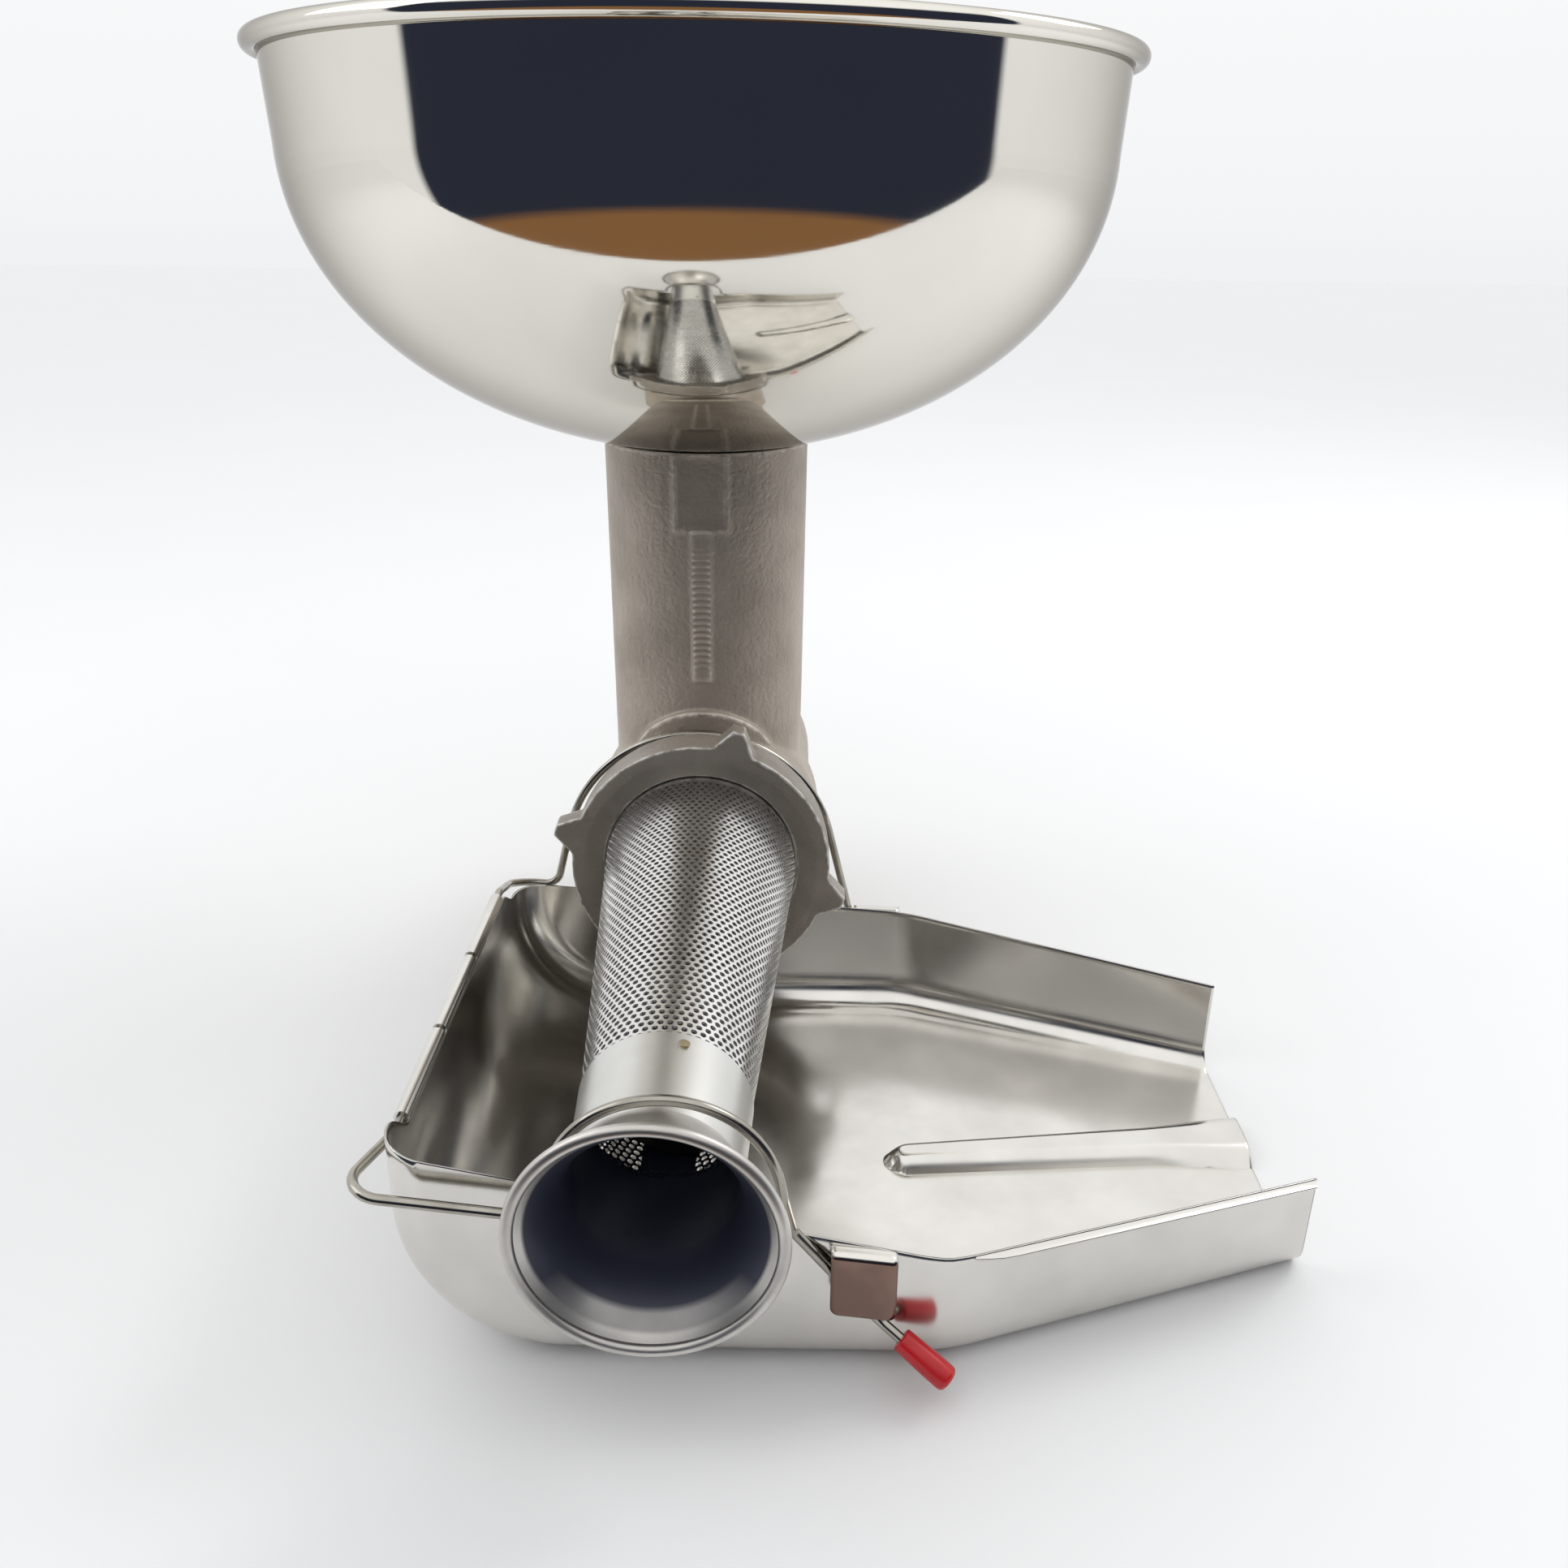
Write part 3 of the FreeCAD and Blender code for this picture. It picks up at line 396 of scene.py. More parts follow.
def pipe_metal(name, tones, rough, stretch, crescent=False):
    """Steel of the strainer's pipe: dull outside and painted shade inside, with or without the painted lit
    crescent.
    """
    material, tree, shader = new_material(name)
    place = tree.nodes.new("ShaderNodeTexCoord")
    radial = tree.nodes.new("ShaderNodeVectorMath")
    radial.operation = "MULTIPLY"
    radial.inputs[1].default_value = (1, 0, 1)
    tree.links.new(place.outputs["Object"], radial.inputs[0])
    facing = tree.nodes.new("ShaderNodeVectorMath")
    facing.operation = "DOT_PRODUCT"
    tree.links.new(radial.outputs["Vector"], facing.inputs[0])
    tree.links.new(place.outputs["Normal"], facing.inputs[1])
    spot = split(tree, "Object")
    inward = spread(tree, facing.outputs["Value"], *INWARD, 1.0, 0.0)
    # painted shade: dark navy colour and low metallic on inward faces behind the bead, standing in for shade
    # and dark reflection inside the pipe
    dark = product(tree, inward, spread(tree, spot["Y"], *BEHIND_BEAD))
    # painted highlight: with the crescent, a lit crescent low in the bell's mouth lightens the painted shade
    if crescent:
        lit = product(
            tree,
            spread(tree, spot["Y"], *CRESCENT_FRONT, CRESCENT_LIGHT, 0.0),
            spread(tree, spot["Z"], *CRESCENT_TOP, 1.0, 0.0),
        )
        dark = product(tree, dark, combine(tree, "SUBTRACT", 1.0, lit))
    patches = noise(tree, scale=60.0, detail=4.0)
    outside = blend(tree, spread(tree, patches, *NOISE_BAND), *tones)
    tree.links.new(spread(tree, dark, 0.0, 1.0, METAL, INSIDE_METALLIC), shader.inputs["Metallic"])
    tree.links.new(blend(tree, dark, outside, PIPE_INSIDE_SHADE), shader.inputs["Base Color"])
    tree.links.new(spread(tree, patches, *NOISE_BAND, *rough), shader.inputs["Roughness"])
    bump(tree, shader, noise(tree, scale=350.0, detail=3.0, stretch=stretch), strength=0.08, distance=0.05)
    return material


def strap_metal(name, painted_brown_reflection, fold, rough):
    """Steel of the front strap: a painted dark brown reflection on its face, under a fold in plain steel
    where it faces up.
    """
    material, tree, shader = new_material(name)
    shader.inputs["Metallic"].default_value = METAL
    face = blend(tree, spread(tree, noise(tree, scale=45.0, detail=3.0), *NOISE_CORE), *painted_brown_reflection)
    # painted reflection: brown on faces that look sideways, plain steel where the normal turns up
    upward = spread(tree, split(tree, "Normal")["Z"], *FOLD_UPWARD)
    tree.links.new(blend(tree, upward, face, fold), shader.inputs["Base Color"])
    patches = noise(tree, scale=120.0, detail=2.0)
    tree.links.new(spread(tree, patches, *NOISE_BAND, *rough), shader.inputs["Roughness"])
    return material


bowl_steel = surface("bowl_steel", ((0.81, 0.785, 0.72), (0.77, 0.745, 0.685)), METAL, rough=(0.035, 0.075),
                     patch_scale=25.0, grain_scale=30.0, grain=0.05, stretch=(1, 1, 60))
BOWL_EDGE = (0.50, 0.49, 0.48, 1)
bowl_steel.node_tree.nodes["Principled BSDF"].inputs["Specular Tint"].default_value = BOWL_EDGE
tray_steel = surface("tray_steel", ((0.77, 0.752, 0.715), (0.68, 0.662, 0.625)), METAL, rough=(0.13, 0.23),
                     patch_scale=40.0, grain_scale=900.0, grain=0.04)
strainer_steel = pipe_metal("strainer_steel", ((0.78, 0.77, 0.75), (0.70, 0.69, 0.67)), rough=(0.22, 0.32),
                            stretch=(1, 8, 1))
bell_steel = pipe_metal("bell_steel", ((0.66, 0.64, 0.61), (0.53, 0.51, 0.48)), rough=(0.34, 0.44),
                        stretch=(1, 14, 1), crescent=True)
collar_steel = pipe_metal("collar_steel", ((0.72, 0.72, 0.69), (0.66, 0.65, 0.62)), rough=(0.30, 0.40),
                          stretch=(1, 14, 1))
strap_steel = strap_metal("strap_steel", painted_brown_reflection=((0.30, 0.190, 0.150), (0.18, 0.120, 0.098)),
                          fold=(0.76, 0.735, 0.69), rough=(0.16, 0.24))
wire_steel = surface("wire_steel", ((0.44, 0.42, 0.375), (0.32, 0.30, 0.26)), METAL, rough=(0.14, 0.24),
                     patch_scale=120.0, grain_scale=900.0, grain=0.10)
satin_steel = surface("satin_steel", ((0.62, 0.61, 0.59), (0.54, 0.53, 0.51)), METAL, rough=(0.25, 0.38),
                      patch_scale=80.0, grain_scale=800.0, grain=0.10)
casting_tin = cast_metal("casting_tin", ((0.49, 0.425, 0.355), (0.405, 0.35, 0.29)),
                         bright=(0.72, 0.66, 0.58), wear_and_highlight=(0.012, 0.06), rough=(0.40, 0.52), ridges=True)
nut_tin = cast_metal("nut_tin", ((0.36, 0.32, 0.275), (0.28, 0.248, 0.212)),
                     bright=(0.80, 0.77, 0.72), wear_and_highlight=(0.012, 0.04), rough=(0.36, 0.50), ridges=False)
bronze = surface("bronze", ((0.62, 0.45, 0.24), (0.52, 0.36, 0.18)), METAL, rough=(0.28, 0.42),
                 patch_scale=120.0, grain_scale=700.0, grain=0.1)
rubber = surface("rubber", ((0.035, 0.035, 0.035), (0.055, 0.055, 0.055)), PLASTIC, rough=(0.55, 0.75),
                 patch_scale=150.0, grain_scale=1200.0, grain=0.3, depth=0.1)
screw_plastic = surface("screw_plastic", ((0.012, 0.012, 0.013), (0.02, 0.02, 0.021)), PLASTIC,
                        rough=(0.45, 0.6), patch_scale=60.0, grain_scale=900.0, grain=0.15, depth=0.1)
brass = surface("brass", ((0.50, 0.42, 0.29), (0.34, 0.28, 0.18)), METAL, rough=(0.25, 0.4),
                patch_scale=300.0, grain_scale=1500.0, grain=0.1)
red_plastic = surface("red_plastic", ((0.62, 0.012, 0.018), (0.52, 0.008, 0.014)), PLASTIC,
                      rough=(0.26, 0.42), patch_scale=200.0, grain_scale=1400.0, grain=0.15, depth=0.08)

# CAD nodes that stay as they are
kept = {
    "hopper_spigot": satin_steel,
    "locating_dowel": satin_steel,
    "rear_bush": bronze,
    "shaft_seal": rubber,
    "thrust_washer": screw_plastic,
    "auger_shaft": satin_steel,
    "drive_pin": satin_steel,
    "retaining_clip": satin_steel,
    "auger_screw": screw_plastic,
    "strainer_flange": satin_steel,
    "strainer_gasket": rubber,
    "collar_rivet": brass,
}
for node, material in kept.items():
    mesh = nodes[node].data
    mesh.materials.clear()
    mesh.materials.append(material)


# Hopper bowl
BOWL_STEPS = 90
BOWL_BEAD_STEPS = 40
BOWL_BEAD_END = 540.0


def dish(r, depth):
    """Oval side of the bowl, from the hole in its floor up to its wall."""
    low = math.acos(BOWL_HOLE_R / r)
    angles = [low * (i / BOWL_STEPS - 1) for i in range(BOWL_STEPS + 1)]
    return [(r * math.cos(a), BOWL_DISH_Z + depth * math.sin(a)) for a in angles]


def bowl():
    """Spun bowl with a rolled bead, as one turned profile."""
    start = 180 + math.degrees(math.acos(1 - BOWL_SHEET / BOWL_BEAD_R))
    profile = dish(BOWL_DISH_R, BOWL_DISH_DEPTH)
    centre = (BOWL_RIM_R - BOWL_BEAD_R, BOWL_BEAD_Z)
    profile += arc(centre, BOWL_BEAD_R, start, BOWL_BEAD_END, BOWL_BEAD_STEPS)
    profile += reversed(dish(BOWL_DISH_R - BOWL_SHEET, BOWL_DISH_DEPTH - BOWL_SHEET))
    points, faces = turn(profile, "neck", count=256)
    add_piece("hopper_shell", points, faces, bowl_steel, "hopper", ["hopper_bowl"], 60.0)


bowl()


# Strainer cone, laid out flat as a fan and rolled up
HOLE_PITCH = 2.75
HOLE_R = 0.98
SEAM_HALF = 8.0
LAP_ROWS = 40
LAP_COLUMNS = 10
LAP_OUT = 0.05
BAND_LENGTH = 4.2
CONE_SLOPE = (CONE_REAR_R - CONE_FRONT_R) / (CONE_REAR_Y - CONE_FRONT_Y)
CONE_SINE = math.sin(math.atan(CONE_SLOPE))
CONE_COSINE = math.cos(math.atan(CONE_SLOPE))
FAN_NEAR = CONE_FRONT_R / CONE_SINE
FAN_FAR = CONE_REAR_R / CONE_SINE
FAN_HALF = math.pi * CONE_SINE


def on_cone(u, v, depth):
    """Place of a point of the flat sheet on the rolled cone."""
    rho = math.hypot(u, v)
    a = math.atan2(v, u) / CONE_SINE + math.pi / 2
    r = rho * CONE_SINE - depth * CONE_COSINE
    y = CONE_FRONT_Y + (rho - FAN_NEAR) * CONE_COSINE - depth * CONE_SINE
    return (r * math.cos(a), y, r * math.sin(a))


def on_fan(u, v):
    """Whether a point of the flat sheet is on the perforated part."""
    rho = math.hypot(u, v)
    return FAN_NEAR < rho < FAN_FAR and abs(v) < rho * math.sin(FAN_HALF) - SEAM_HALF / 2


def strainer_sheet():
    """Perforated cone: staggered cells with a hole in each, rolled round the axis."""
    ring = [(-1, -1), (0, -1), (1, -1), (1, 0), (1, 1), (0, 1), (-1, 1), (-1, 0)]
    sides = [(k, (k + 1) % len(ring)) for k in range(len(ring))]
    row_step = HOLE_PITCH * math.sqrt(0.75)
    points = []
    faces = []
    index = {}

    def vertex(u, v, depth):
        """Number of a shared point."""
        key = (round(u, 4), round(v, 4), depth)
        if key not in index:
            index[key] = len(points)
            points.append(on_cone(u, v, depth))
        return index[key]

    low = FAN_NEAR * math.cos(FAN_HALF)
    rows = int((FAN_FAR - low) / row_step) + 1
    columns = int(FAN_FAR * FAN_HALF / HOLE_PITCH) + 2
    for i in range(rows):
        u = low + (i + 0.5) * row_step
        shift = HOLE_PITCH / 2 if i % 2 else 0.0
        for j in range(-columns, columns + 1):
            v = j * HOLE_PITCH + shift
            corners = [(u + a * row_step / 2, v + b * HOLE_PITCH / 2) for a, b in ring]
            if not all(on_fan(*c) for c in corners):
                continue
            edges = [(u + a * HOLE_R / math.hypot(a, b), v + b * HOLE_R / math.hypot(a, b)) for a, b in ring]
            holes = []
            for depth in (0.0, SHEET):
                cell = [vertex(*c, depth) for c in corners]
                hole = [vertex(*e, depth) for e in edges]
                holes.append(hole)
                faces += [(cell[k], cell[m], hole[m], hole[k]) for k, m in sides]
            near, far = holes
            faces += [(near[k], near[m], far[m], far[k]) for k, m in sides]
    add_piece("strainer_sheet", points, faces, strainer_steel, "strainer",
              ["strainer_cone"], 50)


def strainer_lap():
    """Plain lap of the seam underneath."""
    lap = math.asin(SEAM_HALF / CONE_FRONT_R)
    columns = LAP_COLUMNS + 1
    points = []
    for depth in (-LAP_OUT, SHEET + LAP_OUT):
        for i in range(LAP_ROWS + 1):
            rho = FAN_NEAR + (FAN_FAR - FAN_NEAR) * i / LAP_ROWS
            for j in range(columns):
                a = CONE_SINE * (math.pi - lap + 2 * lap * j / LAP_COLUMNS)
                points.append(on_cone(rho * math.cos(a), rho * math.sin(a), depth))
    layer = (LAP_ROWS + 1) * columns
    faces = grid_faces(LAP_ROWS + 1, columns) + grid_faces(LAP_ROWS + 1, columns, start=layer)
    edge = list(range(columns))
    edge += [i * columns + LAP_COLUMNS for i in range(1, LAP_ROWS + 1)]
    edge += [LAP_ROWS * columns + j for j in range(LAP_COLUMNS - 1, -1, -1)]
    edge += [i * columns for i in range(LAP_ROWS - 1, 0, -1)]
    for a, b in zip(edge, edge[1:] + edge[:1]):
        faces.append((a, b, b + layer, a + layer))
    add_piece("strainer_lap", points, faces, strainer_steel, "strainer", ["strainer_cone"])


def strainer_band():
    """Plain band at the cone's wide end."""
    front_r = CONE_REAR_R - CONE_SLOPE * BAND_LENGTH
    front_y = CONE_REAR_Y - BAND_LENGTH
    profile = [
        (CONE_REAR_R, CONE_REAR_Y),
        (front_r, front_y),
        (front_r - SHEET, front_y),
        (CONE_REAR_R - SHEET, CONE_REAR_Y),
    ]
    points, faces = turn(profile, "barrel", count=128)
    add_piece("strainer_band", points, faces, strainer_steel, "strainer", ["strainer_cone"])


strainer_sheet()
strainer_lap()
strainer_band()


# Outlet collar and bell
COLLAR_LAP_GAP = 0.28
COLLAR_CHAMFER = 0.3
COLLAR_STEPS = 14
BELL_STEPS = 30
BELL_BEAD_STEPS = 30
BEAD_TUCK = 20.0


def collar():
    """Solid collar with a soft rear edge, lapped over the cone's end."""
    start_y = COLLAR_REAR_Y - COLLAR_CHAMFER
    profile = [
        (CONE_FRONT_R + COLLAR_LAP_GAP, COLLAR_REAR_Y),
        (COLLAR_REAR_R - COLLAR_CHAMFER, COLLAR_REAR_Y),
    ]
    for i in range(COLLAR_STEPS + 1):
        share = i / COLLAR_STEPS
        r = COLLAR_REAR_R + (COLLAR_FRONT_R - COLLAR_REAR_R) * share
        profile.append((r, start_y + (COLLAR_FRONT_Y - start_y) * share))
    profile += [
        (COLLAR_FRONT_R - SHEET, COLLAR_FRONT_Y),
        (COLLAR_FRONT_R - SHEET, CONE_FRONT_Y),
        (CONE_FRONT_R, CONE_FRONT_Y),
    ]
    points, faces = turn(profile, "barrel", count=160)
    add_piece("outlet_sleeve", points, faces, collar_steel, "strainer", ["outlet_collar"])


def bell():
    """Bell that leaves the collar along its axis and ends in a rolled rim."""
    end_y = FLARE_FRONT_Y + FLARE_BEAD_R
    end_r = FLARE_RIM_R - FLARE_BEAD_R
    run = COLLAR_FRONT_Y - end_y
    rise = end_r - COLLAR_FRONT_R
    bend = (run ** 2 + rise ** 2) / (2 * rise)
    sweep = math.asin(run / bend)
    centre = COLLAR_FRONT_R + bend

    def side(r):
        """Curve of one face of the sheet, and its direction from the rim's middle in degrees."""
        angles = [sweep * i / BELL_STEPS for i in range(BELL_STEPS)]
        curve = [(centre - r * math.cos(a), COLLAR_FRONT_Y - r * math.sin(a)) for a in angles]
        return curve, math.degrees(math.atan2(curve[-1][1] - end_y, curve[-1][0] - end_r))

    outside, first = side(bend)
    inside, last = side(bend + SHEET)
    bead = arc((end_r, end_y), FLARE_BEAD_R, first - BEAD_TUCK, last - 360 + BEAD_TUCK, BELL_BEAD_STEPS)
    points, faces = turn(outside + bead + inside[::-1], "barrel", count=192)
    add_piece("outlet_bell", points, faces, bell_steel, "strainer", ["outlet_flare"], 60)


collar()
bell()


# Form of the drip tray
ROUND_X = TRAY_LEFT_X + TRAY_ROUND
ROUND_Z = TRAY_FLOOR_Z + TRAY_ROUND
RIB_TIP_X = 72.0
RIB_TIP_Y = TRAY_MID_Y - 7.0
RIB_END_Y = TRAY_MID_Y + 6.0
RIB_HEIGHT = 5.0
RIB_NOSE_X = RIB_TIP_X + 4.5
RIB_NOSE_STRETCH = 0.75
RIB_OPENS_AT = 0.70
NOSE_ZONE = (RIB_NOSE_X - 11.0, RIB_NOSE_X + 1.0)

# Widths of the rib: at its tip, added along its length and added where it opens
RIB_HALF = (6.4, 3.4, 3.6)
RIB_SHOULDER = (4.4, 1.0, 2.2)

# Fineness of the tray's mesh
FILLET_STEPS = 10
SIDE_STEPS = 36
SHOULDER_STEPS = 8
FOOT_LINES = (1.2, 0.3)
UPRIGHT_ROWS = 10
ROUND_ROWS = 22
WALL_ROWS = 14
RIM_STEPS = 24
STATION_STEP = 2.3
NOSE_STEP = 0.5


def half_depth(x):
    """Half width of the tray at a station: straight, then narrowing after a soft bend."""
    if x <= TRAY_BEND_X - BEND_SOFT:
        return TRAY_HALF
    if x >= TRAY_BEND_X + BEND_SOFT:
        return TRAY_HALF + SPOUT_SLOPE * (x - TRAY_BEND_X)
    t = (x - TRAY_BEND_X + BEND_SOFT) / (2 * BEND_SOFT)
    return TRAY_HALF + SPOUT_SLOPE * BEND_SOFT * t * t


def edge_round(x):
    """Radius between floor and walls at a station."""
    share = max(0.0, (x - TRAY_BEND_X) / SPOUT_LENGTH)
    return TRAY_EDGE + (SPOUT_EDGE - TRAY_EDGE) * share


def rim_line(x, left_z, bend_z, end_z):
    """Height of the rim along an end wall."""
    if x < TRAY_BEND_X:
        return left_z + (bend_z - left_z) * (x - TRAY_LEFT_X) / (TRAY_BEND_X - TRAY_LEFT_X)
    return bend_z + (end_z - bend_z) * (x - TRAY_BEND_X) / SPOUT_LENGTH


def wall_top(x, front):
    """Top of an end wall, with the round notch for the barrel or the outlet."""
    top = rim_line(x, *(FRONT_RIM if front else REAR_RIM))
    notch = FRONT_NOTCH_R if front else REAR_NOTCH_R
    if abs(x) < notch:
        top = min(top, -math.sqrt(notch * notch - x * x))
    return top


def left_rim(y, off):
    """Top of the left wall and its corners: level along the curls, higher in front and lower behind."""
    front = 1 - soft_step(TRAY_FRONT_Y + TRAY_EDGE, TRAY_MID_Y - CURL_HALF, y)
    rear = soft_step(TRAY_MID_Y + CURL_HALF, TRAY_REAR_Y - TRAY_EDGE, y)
    front_top = rim_line(TRAY_LEFT_X + off, *FRONT_RIM)
    rear_top = rim_line(TRAY_LEFT_X + off, *REAR_RIM)
    return HINGE_Z + (front_top - HINGE_Z) * front + (rear_top - HINGE_Z) * rear


def rib_shape(x):
    """Middle, half width and shoulder width of the pressed rib at a station."""
    t = max(0.0, (x - RIB_TIP_X) / (TRAY_END_X - RIB_TIP_X))
    flare = soft_step(RIB_OPENS_AT, 1.0, t)
    half, shoulder = [tip + along * t + end * flare for tip, along, end in (RIB_HALF, RIB_SHOULDER)]
    return RIB_TIP_Y + (RIB_END_Y - RIB_TIP_Y) * t, half, shoulder


def rib_height(x, y):
    """Height of the pressed rib over the floor."""
    middle, half, shoulder = rib_shape(x)
    d = math.hypot(min(0.0, x - RIB_NOSE_X) * RIB_NOSE_STRETCH, y - middle)
    rise = min(1.0, max(0.0, (half - d) / shoulder))
    return RIB_HEIGHT * math.sin(math.pi / 2 * rise)


def tray_section(x):
    """(height off the sheet, y) at a station, from the front wall's foot to the rear wall's."""
    front = TRAY_MID_Y - half_depth(x)
    rear = TRAY_MID_Y + half_depth(x)
    edge_r = edge_round(x)
    middle, half, shoulder = rib_shape(x)
    outer_foot, inner_foot = FOOT_LINES
    side = [half + outer_foot, half + inner_foot]
    side += [half - shoulder * k / SHOULDER_STEPS for k in range(SHOULDER_STEPS + 1)]
    side += [half - shoulder - inner_foot, (half - shoulder) / 2]
    rib = [middle - s for s in side] + [middle] + [middle + s for s in reversed(side)]
    steps = [j / SIDE_STEPS for j in range(1, SIDE_STEPS)]
    floor = [front + edge_r + (rib[0] - front - edge_r) * s for s in steps]
    floor += rib
    floor += [rib[-1] + (rear - edge_r - rib[-1]) * s for s in steps]
    fillet = []
    for i in range(FILLET_STEPS + 1):
        a = math.radians(90.0 * i / FILLET_STEPS)
        fillet.append((edge_r * (1 - math.sin(a)), edge_r * (1 - math.cos(a))))
    section = [(off, front + inset) for off, inset in fillet]
    section += [(0.0, y) for y in floor]
    section += [(off, rear - inset) for off, inset in reversed(fillet)]
    return section


def floor_stations():
    """Places along the floor, closer together round the rib's nose."""
    stations = [ROUND_X]
    while stations[-1] < TRAY_END_X - STATION_STEP:
        near_nose = NOSE_ZONE[0] < stations[-1] < NOSE_ZONE[1]
        stations.append(stations[-1] + (NOSE_STEP if near_nose else STATION_STEP))
    return stations + [TRAY_END_X]


def add_end_wall(points, faces, stations, foot, front):
    """Front or rear wall along the sheet's edge, with the plate that closes the left round."""
    floor_from = len(foot) - len(stations)
    lines = []
    for x, start in zip(stations, foot[floor_from:]):
        y = TRAY_MID_Y - half_depth(x) if front else TRAY_MID_Y + half_depth(x)
        base = TRAY_FLOOR_Z + edge_round(x)
        top = wall_top(x, front)
        lines.append([start] + list(range(len(points), len(points) + WALL_ROWS)))
        points += [(x, y, base + (top - base) * k / WALL_ROWS) for k in range(1, WALL_ROWS + 1)]
    for a, b in zip(lines, lines[1:]):
        faces += [(a[k], b[k], b[k + 1], a[k + 1]) for k in range(WALL_ROWS)]
    plate = foot[:floor_from] + lines[0]
    for i in range(1, RIM_STEPS):
        x = ROUND_X + (TRAY_LEFT_X + TRAY_EDGE - ROUND_X) * i / RIM_STEPS
        plate.append(len(points))
        points.append((x, TRAY_FRONT_Y if front else TRAY_REAR_Y, wall_top(x, front)))
    faces.append(tuple(plate))


def tray():
    """Pressed tray as one sheet: left wall and round, floor with its rib, and end walls."""
    left = tray_section(ROUND_X)
    rows = []
    for i in range(UPRIGHT_ROWS):
        tops = [left_rim(y, off) for off, y in left]
        heights = [top + (ROUND_Z - top) * i / UPRIGHT_ROWS for top in tops]
        rows.append([(TRAY_LEFT_X + off, y, z) for (off, y), z in zip(left, heights)])
    for i in range(ROUND_ROWS):
        a = math.radians(90.0 * i / ROUND_ROWS)
        row = []
        for off, y in left:
            r = TRAY_ROUND - off
            row.append((ROUND_X - r * math.cos(a), y, ROUND_Z - r * math.sin(a)))
        rows.append(row)
    stations = floor_stations()
    for x in stations:
        rows.append([(x, y, TRAY_FLOOR_Z + off + rib_height(x, y)) for off, y in tray_section(x)])
    columns = len(left)
    points = [p for row in rows for p in row]
    faces = grid_faces(len(rows), columns)
    for front in (True, False):
        edge = 0 if front else columns - 1
        foot = [i * columns + edge for i in range(len(rows))]
        add_end_wall(points, faces, stations, foot, front)
    piece = add_piece("tray_sheet", points, faces, tray_steel, "head", ["drip_tray"], 50)
    thick = piece.modifiers.new("sheet", "SOLIDIFY")
    thick.thickness = SHEET * MM
    thick.offset = -1.0
    thick.use_even_offset = True
    even = piece.modifiers.new("flat plates", "WEIGHTED_NORMAL")
    even.keep_sharp = True


tray()


# Curls, straps and hem of the tray
CURL_FROM = -20.0
CURL_TO = 290.0
CURL_STEPS = 30
STRAP_WIDTH = 18.0
STRAP_DROP = 19.5
STRAP_FOLD = 1.6
STRAP_CORNER = 2.4
STRAP_ROOT = 4.0
STRAP_BELOW_RIM = 0.4
STRAP_SPLAY = 3.0
STRAP_TILT_SHARE = 0.55
STRAP_SHEET = 0.75
STRAP_COLUMNS = 12
ROUND_STEPS = 6
HEM_STEPS = 24
HEM_START_X = TRAY_BEND_X + 7.5
HEM_GROWS = (HEM_START_X - 6.0, HEM_START_X + 12.0)

# Out and up from the rim round the hem: its root, its rounded lip and its underside
HEM_PROFILE = [(-0.5, -0.1), *arc((3.2, -0.5), 0.4, 90, -90, ROUND_STEPS), (0.6, -0.95), (-0.4, -1.6)]


def curls():
    """Rolled pieces of the left rim round the bail."""
    inner = WIRE_R + CURL_GAP
    outer = inner + CURL_WALL
    profile = arc((0, 0), outer, CURL_FROM, CURL_TO, CURL_STEPS)
    profile += arc((0, 0), inner, CURL_TO, CURL_FROM, CURL_STEPS)

    def place(y, p):
        """Point of a curl at a station."""
        return (HINGE_X + p[0], y, HINGE_Z + p[1])

    for i in range(CURL_COUNT):
        mid = TRAY_MID_Y + (i - (CURL_COUNT - 1) / 2) * CURL_SPACING
        points, faces = bar(profile, [mid - CURL_LENGTH / 2, mid + CURL_LENGTH / 2], place)
        add_piece("rim_curl_%d" % i, points, faces, tray_steel, "head", ["drip_tray"])


def strap(name, plate_y, outward, x_mid, rim, material):
    """Folded strap over the rim with a soft fold and rounded lower corners."""
    tilt = STRAP_TILT_SHARE * (rim[1] - rim[0]) / (TRAY_BEND_X - TRAY_LEFT_X)
    splay = math.tan(math.radians(STRAP_SPLAY))
    top_z = rim_line(x_mid, *rim) - STRAP_BELOW_RIM
    near = -SHEET / 2
    far = STRAP_GAP + SHEET / 2
    bends = [(near, -STRAP_ROOT), (near, -STRAP_FOLD)]
    bends += arc((near + STRAP_FOLD, -STRAP_FOLD), STRAP_FOLD, 180, 90, ROUND_STEPS)
    bends += arc((far - STRAP_FOLD, -STRAP_FOLD), STRAP_FOLD, 90, 0, ROUND_STEPS)
    rows = [(out, z, STRAP_WIDTH / 2) for out, z in bends]
    for pull, sink in arc((STRAP_CORNER, 0.0), STRAP_CORNER, 180, 90, ROUND_STEPS):
        z = STRAP_CORNER - STRAP_DROP - sink
        rows.append((far - splay * (z + STRAP_FOLD), z, STRAP_WIDTH / 2 - pull))
    points = []
    for out, z, half in rows:
        for j in range(STRAP_COLUMNS + 1):
            dx = half * (2 * j / STRAP_COLUMNS - 1)
            points.append((x_mid + dx, plate_y + outward * out, top_z + z + tilt * dx))
    faces = grid_faces(len(rows), STRAP_COLUMNS + 1)
    piece = add_piece(name, points, faces, material, "head", ["drip_tray"])
    thick = piece.modifiers.new("sheet", "SOLIDIFY")
    thick.thickness = STRAP_SHEET * MM
    thick.offset = 0.0


